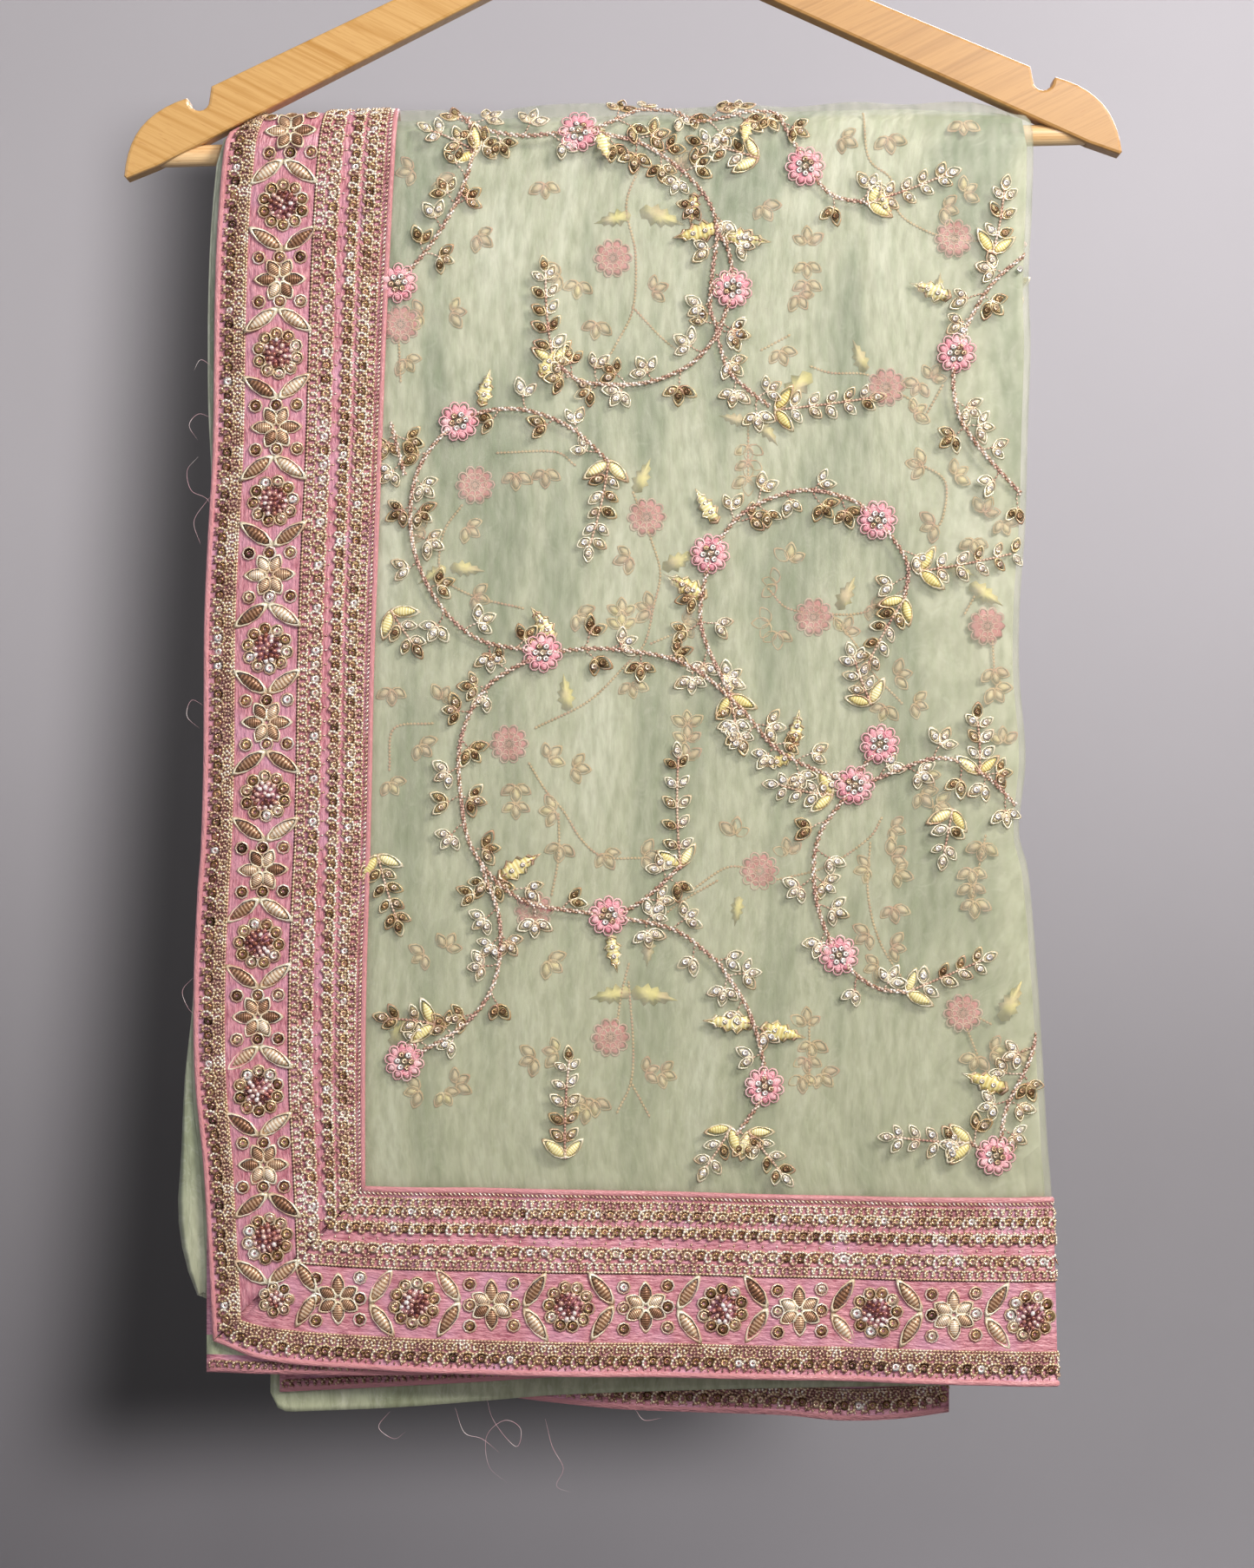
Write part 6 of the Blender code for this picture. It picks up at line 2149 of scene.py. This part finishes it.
    def behind(self, cloth: Cloth) -> None:
        """The layout of the layer that shows through."""
        turn = turns(10)
        for row in FLOWERS_BEHIND.rows():
            x, y = self.move(row["u"], row["drop"])
            tint = self.chance.uniform(0.3, 0.7, 10)
            spots = ahead(x, y, turn, 1.0)
            self.basket.ghost_pads.sew(cloth, *spots, turn, (7.2, 2.8, 0.3), tint, 0.1)
            for out, size, shade in self.loops_behind:
                spots = ahead(x, y, turn, out)
                self.basket.ghost_loops.sew(cloth, *spots, turn, (size, size * 0.9, size), shade, 0.45)
        for points in VINES_BEHIND:
            u, drop = self.move(*smooth_line(points, 1.5))
            self.basket.lace.run(cloth, u, drop, (1.1, 0.7, 0.3), 0.35, 0.2)
        for row in SPRIGS_BEHIND.rows():
            self.sprig_behind(cloth, *self.move(row["u"], row["drop"]), self.turned(row["heading"]))
        for row in TOOTHED_BEHIND.rows():
            spot = self.move(row["u"], row["drop"])
            size = (row["length"], row["length"] * 0.28, 2.0)
            tint = self.chance.uniform(0.75, 1.0)
            self.basket.ghost_saw.sew(cloth, *spot, self.turned(row["heading"]), size, tint, 0.1)


@dataclass
class LowLayer:
    """A layer that hangs out below the folded ones, with its lower edge's table."""

    name: str
    node: str
    cloth: Cloth
    edge: Table
    finish: Finish
    slot: Slot
    corner: float = 0.0
    top: float = LAYERS_START + 18.0
    plain_above: float = 0.0
    pink_above: float = 15.0
    columns: int = 90
    rows: int = 22

    def build(self) -> Piece:
        left = self.edge.places[0]
        right = self.edge.places[-1]
        u = np.linspace(left, right, self.columns)[None, :]
        inset = np.clip(self.corner - (u - left), 0.0, None) / max(self.corner, 1.0)
        rounded = self.corner * (1.0 - np.sqrt(1.0 - inset * inset))
        end = self.edge.read("edge", u) - rounded
        down = np.linspace(0.0, 1.0, self.rows)[:, None] ** 0.6
        drop = self.top + (end - self.top) * down
        u = u + 0.0 * drop
        uv = np.stack([u, end - drop], axis=-1)
        near = np.clip(1.0 - np.abs(end - drop - 1.2) / 1.2, 0.0, 1.0)
        rolled = 0.35 * np.sqrt(near)
        mesh = shell(self.name, self.cloth.place(u, drop, rolled), self.cloth.place(u, drop, -0.5), uv)
        piece = finished(self.name, mesh, [self.finish, EDGE_ORGANZA], self.slot, self.node)
        if self.plain_above:
            up = np.empty(2 * len(mesh.loops))
            mesh.uv_layers["UVMap"].data.foreach_get("uv", up)
            for face in mesh.polygons:
                rise = min(up[2 * i + 1] for i in face.loop_indices)
                face.material_index = int(self.plain_above * MM < rise < self.pink_above * MM)
        return piece


HEM_LAYER_2 = Table("x edge", (-180, 541.0), (-93, 543.8), (-33, 543.0), (90, 546.0), (176, 549.0))
HEM_LAYER_3 = Table("x edge", (-148.5, 552.2), (-71, 549.9), (-35, 548.6), (30, 545.5), (146, 547.0))
ORGANZA_LAYER_4 = Table(
    "x edge", (-152.8, 561.5), (-98, 560.4), (-56, 558.2), (-25, 556.6), (36, 556.2), (150, 556.6)
)
HEM_LAYER_5 = Table(
    "x edge",
    (-146, 552.0), (-60, 555.5), (-27, 560.1), (2, 563.9), (36, 566.3), (77, 568.8), (101, 571.6),
    (127, 571.4), (150, 568.8),
)
LOW_ROWS = BORDER_ROWS[:4]
PEEPING_ROWS = (Row(RowKind.CURLS, 4.0, 3.6, 1.3, 0.4), Row(RowKind.DOTS, 2.6, 3.15, 0.9, 0.4))


def low_layers() -> tuple[LowLayer, ...]:
    """The layers below the hem, from the front back."""
    border = (PINK_SATIN, Slot.BORDER)
    plain = (EDGE_ORGANZA, Slot.ORGANZA)
    second = DeepLayer(FRONT, UNDER_SHEET + 0.5)
    return (
        LowLayer("second_hem", "hem_layer_2", second, HEM_LAYER_2, *border, plain_above=6.5),
        LowLayer("third_hem", "hem_layer_3", MiddleLayer(-2.25), HEM_LAYER_3, *border, plain_above=7.5),
        LowLayer("fourth_layer", "organza_layer_4", MiddleLayer(-0.6), ORGANZA_LAYER_4, *plain, corner=9.0),
        LowLayer("fifth_hem", "hem_layer_5", MiddleLayer(1.05), HEM_LAYER_5, *border),
    )


# Loose ends of sewing thread: places across and down, each a line of its own
LOOSE_ENDS = (
    ((-183, 174), (-186, 164), (-181, 156), (-176, 150)),
    ((-184, 135), (-189, 141), (-187, 150), (-180, 154), (-176, 163)),
    ((-178, 118), (-184, 116), (-188, 121), (-184, 128)),
    ((-181, 246), (-187, 243), (-189, 250), (-183, 256)),
    ((-178, 95), (-183, 92), (-186, 97)),
    ((-186, 366), (-191, 372), (-188, 380), (-184, 383)),
    ((-56, 556), (-53, 566), (-43, 578), (-41, 570), (-48, 566), (-56, 573), (-55, 586), (-47, 594)),
    ((-70, 560), (-66, 571), (-58, 574), (-50, 581)),
    ((-30, 566), (-27, 578), (-22, 588), (-25, 596), (-18, 599)),
    ((-99, 561), (-104, 568), (-97, 573), (-92, 570)),
    ((10, 563), (14, 568), (22, 567)),
)


@dataclass
class LooseThreads:
    """Hair-thin ends of pink and white sewing thread at the free edge and below the hem."""

    thick: float = 0.1
    sides: int = 4
    hang: float = -7.0

    def strand(self, points: Sequence[Sequence[float]], out: float) -> Places:
        """One end as a fine tube that tapers to nothing, with its points and faces."""
        u, drop = smooth_line(points, 1.2)
        count = len(u)
        sway_out = out + 0.8 * np.sin(np.arange(count) / 3.0)
        line = np.stack([u, sway_out + sway(u, drop), bar_height(u) - drop], axis=-1)
        ahead_line = np.gradient(line, axis=0)
        side = np.cross(ahead_line, (0.0, 1.0, 0.0))
        side /= np.linalg.norm(side, axis=1, keepdims=True)
        radius = self.thick * np.sin(np.linspace(0.25, math.pi - 0.02, count))
        angles = turns(self.sides)
        rings = line[:, None, :] + radius[:, None, None] * (
            np.cos(angles)[None, :, None] * side[:, None, :]
            + np.sin(angles)[None, :, None] * np.array([0.0, 1.0, 0.0])
        )
        number = np.arange(count - 1)[:, None] * self.sides
        j = np.arange(self.sides)[None, :]
        beside = (j + 1) % self.sides
        after = number + self.sides
        faces = np.stack([number + j, number + beside, after + beside, after + j], axis=-1)
        return rings.reshape(-1, 3), faces.reshape(-1, 4)

    def build(self) -> None:
        """Makes all the ends as one piece."""
        points: list[Array] = []
        faces: list[Array] = []
        start = 0
        for ends in LOOSE_ENDS:
            depth = -(float(HALVES.read("front", ends[0][1])) - 3.0) if ends[0][1] < 500 else self.hang
            strand, quads = self.strand(ends, depth)
            points.append(strand)
            faces.append(quads + start)
            start += len(strand)
        mesh = mesh_of("loose_threads", np.concatenate(points) * MM, np.concatenate(faces))
        finished("loose_threads", mesh, [LOOSE_FLOSS], Slot.BORDER)


@dataclass
class WoodenHanger:
    """The hanger's own solids, in varnished beech and nickel-plated wire."""

    finishes: tuple[tuple[str, Finish], ...] = (
        ("hanger_arm_left", WOOD_LEFT), ("hanger_arm_right", WOOD_RIGHT), ("hanger_bar", WOOD_BAR),
        ("hanger_hook", STEEL),
    )

    def build(self) -> None:
        """Gives each solid its finish."""
        for node, finish in self.finishes:
            for slot in bpy.data.objects[node].material_slots:
                slot.material = finish.material()
            LOG.info("%s: %s", node, finish.name)


# The soft lights: the place, the size, the power in watts, the colour and the place that each one faces
CLOTH = (0.0, 0.0, -0.42)
LAMPS = {
    "key": ((1.45, -1.7, 0.85), 0.55, 66.0, "#FFF8EE", CLOTH),
    "glint": ((0.5, -1.5, 0.35), 0.2, 10.0, "#FFFFFF", CLOTH),
    "fill": ((-1.9, -1.7, -0.3), 1.6, 11.0, "#EAF0FF", CLOTH),
    "behind": ((0.9, 2.0, 1.0), 1.2, 26.0, "#F6F4FF", CLOTH),
    "wall": ((2.1, 1.4, 1.7), 1.4, 46.0, "#FBF8FF", (0.5, 3.5, -0.1)),
}


@dataclass
class Studio:
    """A round grey paper sweep, soft lights from the upper right and the photograph's camera, in metres."""

    floor: float = -1.95
    radius: float = 3.5
    rim: float = 3.4
    fillet: float = 1.0
    lens: float = 83.2
    eye: tuple[float, float, float] = (0.0063, -1.617, -0.4618)
    room: str = "#C8CCD6"
    room_strength: float = 0.42

    def sweep(self) -> None:
        """The floor, curved up into the backdrop all round."""
        flat = [(r, self.floor) for r in np.linspace(0.02, self.radius - self.fillet, 8)]
        bend = [
            (
                self.radius - self.fillet + self.fillet * math.sin(a),
                self.floor + self.fillet - self.fillet * math.cos(a),
            )
            for a in np.linspace(0.0, math.pi / 2, 13)[1:]
        ]
        profile = np.array([*flat, *bend, (self.radius, self.rim)])
        angles = turns(96)
        rings = np.stack(
            [profile[:, None, 0] * np.cos(angles), profile[:, None, 0] * np.sin(angles),
             np.repeat(profile[:, 1:], len(angles), axis=1)], axis=-1,
        )
        count = len(angles)
        faces = grid_faces(len(profile), count)
        first = np.arange(len(profile) - 1) * count
        seam = np.stack([first + count - 1, first, first + count, first + 2 * count - 1], axis=-1)
        middle = np.arange(count)[None, ::-1]
        faces = [*faces.tolist(), *seam.tolist(), *middle.tolist()]
        mesh = mesh_of("paper_sweep", rings.reshape(-1, 3), faces)
        mesh.materials.append(PAPER.material())
        link("paper_sweep", mesh)

    @staticmethod
    def light(
        name: str, place: Sequence[float], size: float, power: float, colour: str, target: Sequence[float]
    ) -> None:
        """A square soft light that faces a target."""
        lamp = bpy.data.lights.new(name, "AREA")
        lamp.energy = power
        lamp.size = size
        lamp.color = linear(colour)[:3]
        holder = bpy.data.objects.new(name, lamp)
        holder.location = place
        aim = Vector(target) - Vector(place)
        holder.rotation_euler = aim.to_track_quat("-Z", "Y").to_euler()
        bpy.context.scene.collection.objects.link(holder)

    def build(self) -> None:
        """The sweep, the lights, the dim room round them and the camera."""
        self.sweep()
        for name, lamp in LAMPS.items():
            self.light(name, *lamp)
        world = bpy.data.worlds.new("room")
        world.use_nodes = True
        tree = world.node_tree
        feed(tree, tree.nodes["Background"], {"Color": self.room, "Strength": self.room_strength})
        bpy.context.scene.world = world
        bpy.context.scene.view_settings.view_transform = "Standard"
        camera = bpy.data.cameras.new("camera")
        camera.lens = self.lens
        camera.sensor_width = 36.0
        camera.sensor_fit = "AUTO"
        holder = bpy.data.objects.new("camera", camera)
        holder.location = self.eye
        holder.rotation_euler = (math.pi / 2, 0.0, 0.0)
        bpy.context.scene.collection.objects.link(holder)
        bpy.context.scene.camera = holder


def face_work(side: Side, seed: int) -> Basket:
    """Sews everything on one face of the bundle.

    Args:
        side: the front or the back.
        seed: the start of its chance.

    Returns:
        The gathered work.
    """
    basket = Basket(side.name, FRONT_PITCH if side is FRONT else BACK_PITCH)
    chance = np.random.default_rng(seed)
    BorderWork(basket, chance).border(side)
    work = FieldWork(basket, chance, mirror=86.0, turn_over=side is BACK)
    work.front(FieldSheet(side))
    work.behind(UnderLayer(side, BEHIND_DEPTH))
    return basket


def main() -> None:
    """Dresses the hanger, then the cloth from the inside out, and builds the studio."""
    logging.basicConfig(level=logging.INFO, format="%(message)s")
    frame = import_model()
    LOG.info("%d nodes in the frame", len(frame["nodes"]))
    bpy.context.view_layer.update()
    WoodenHanger().build()
    FoldedOrganza().build()
    faces = {side.name: face_work(side, SEED + k) for k, side in enumerate((FRONT, BACK))}
    made = {name: basket.make() for name, basket in faces.items()}
    low = Basket("low_hems")
    work = BorderWork(low, np.random.default_rng(SEED + 7))
    for layer in low_layers():
        layer.build()
        if layer.slot is Slot.BORDER:
            work.low_hem(layer.cloth, layer.edge, PEEPING_ROWS if layer.plain_above else LOW_ROWS)
    low.make()
    LooseThreads().build()
    borders = SatinBorder()
    borders.side(())
    borders.hem(FRONT, made["front"][Slot.BORDER])
    borders.hem(BACK, made["back"][Slot.BORDER])
    OrganzaField().build(made["front"][Slot.ORGANZA] + made["back"][Slot.ORGANZA])
    Studio().build()


if __name__ == "__main__":
    main()
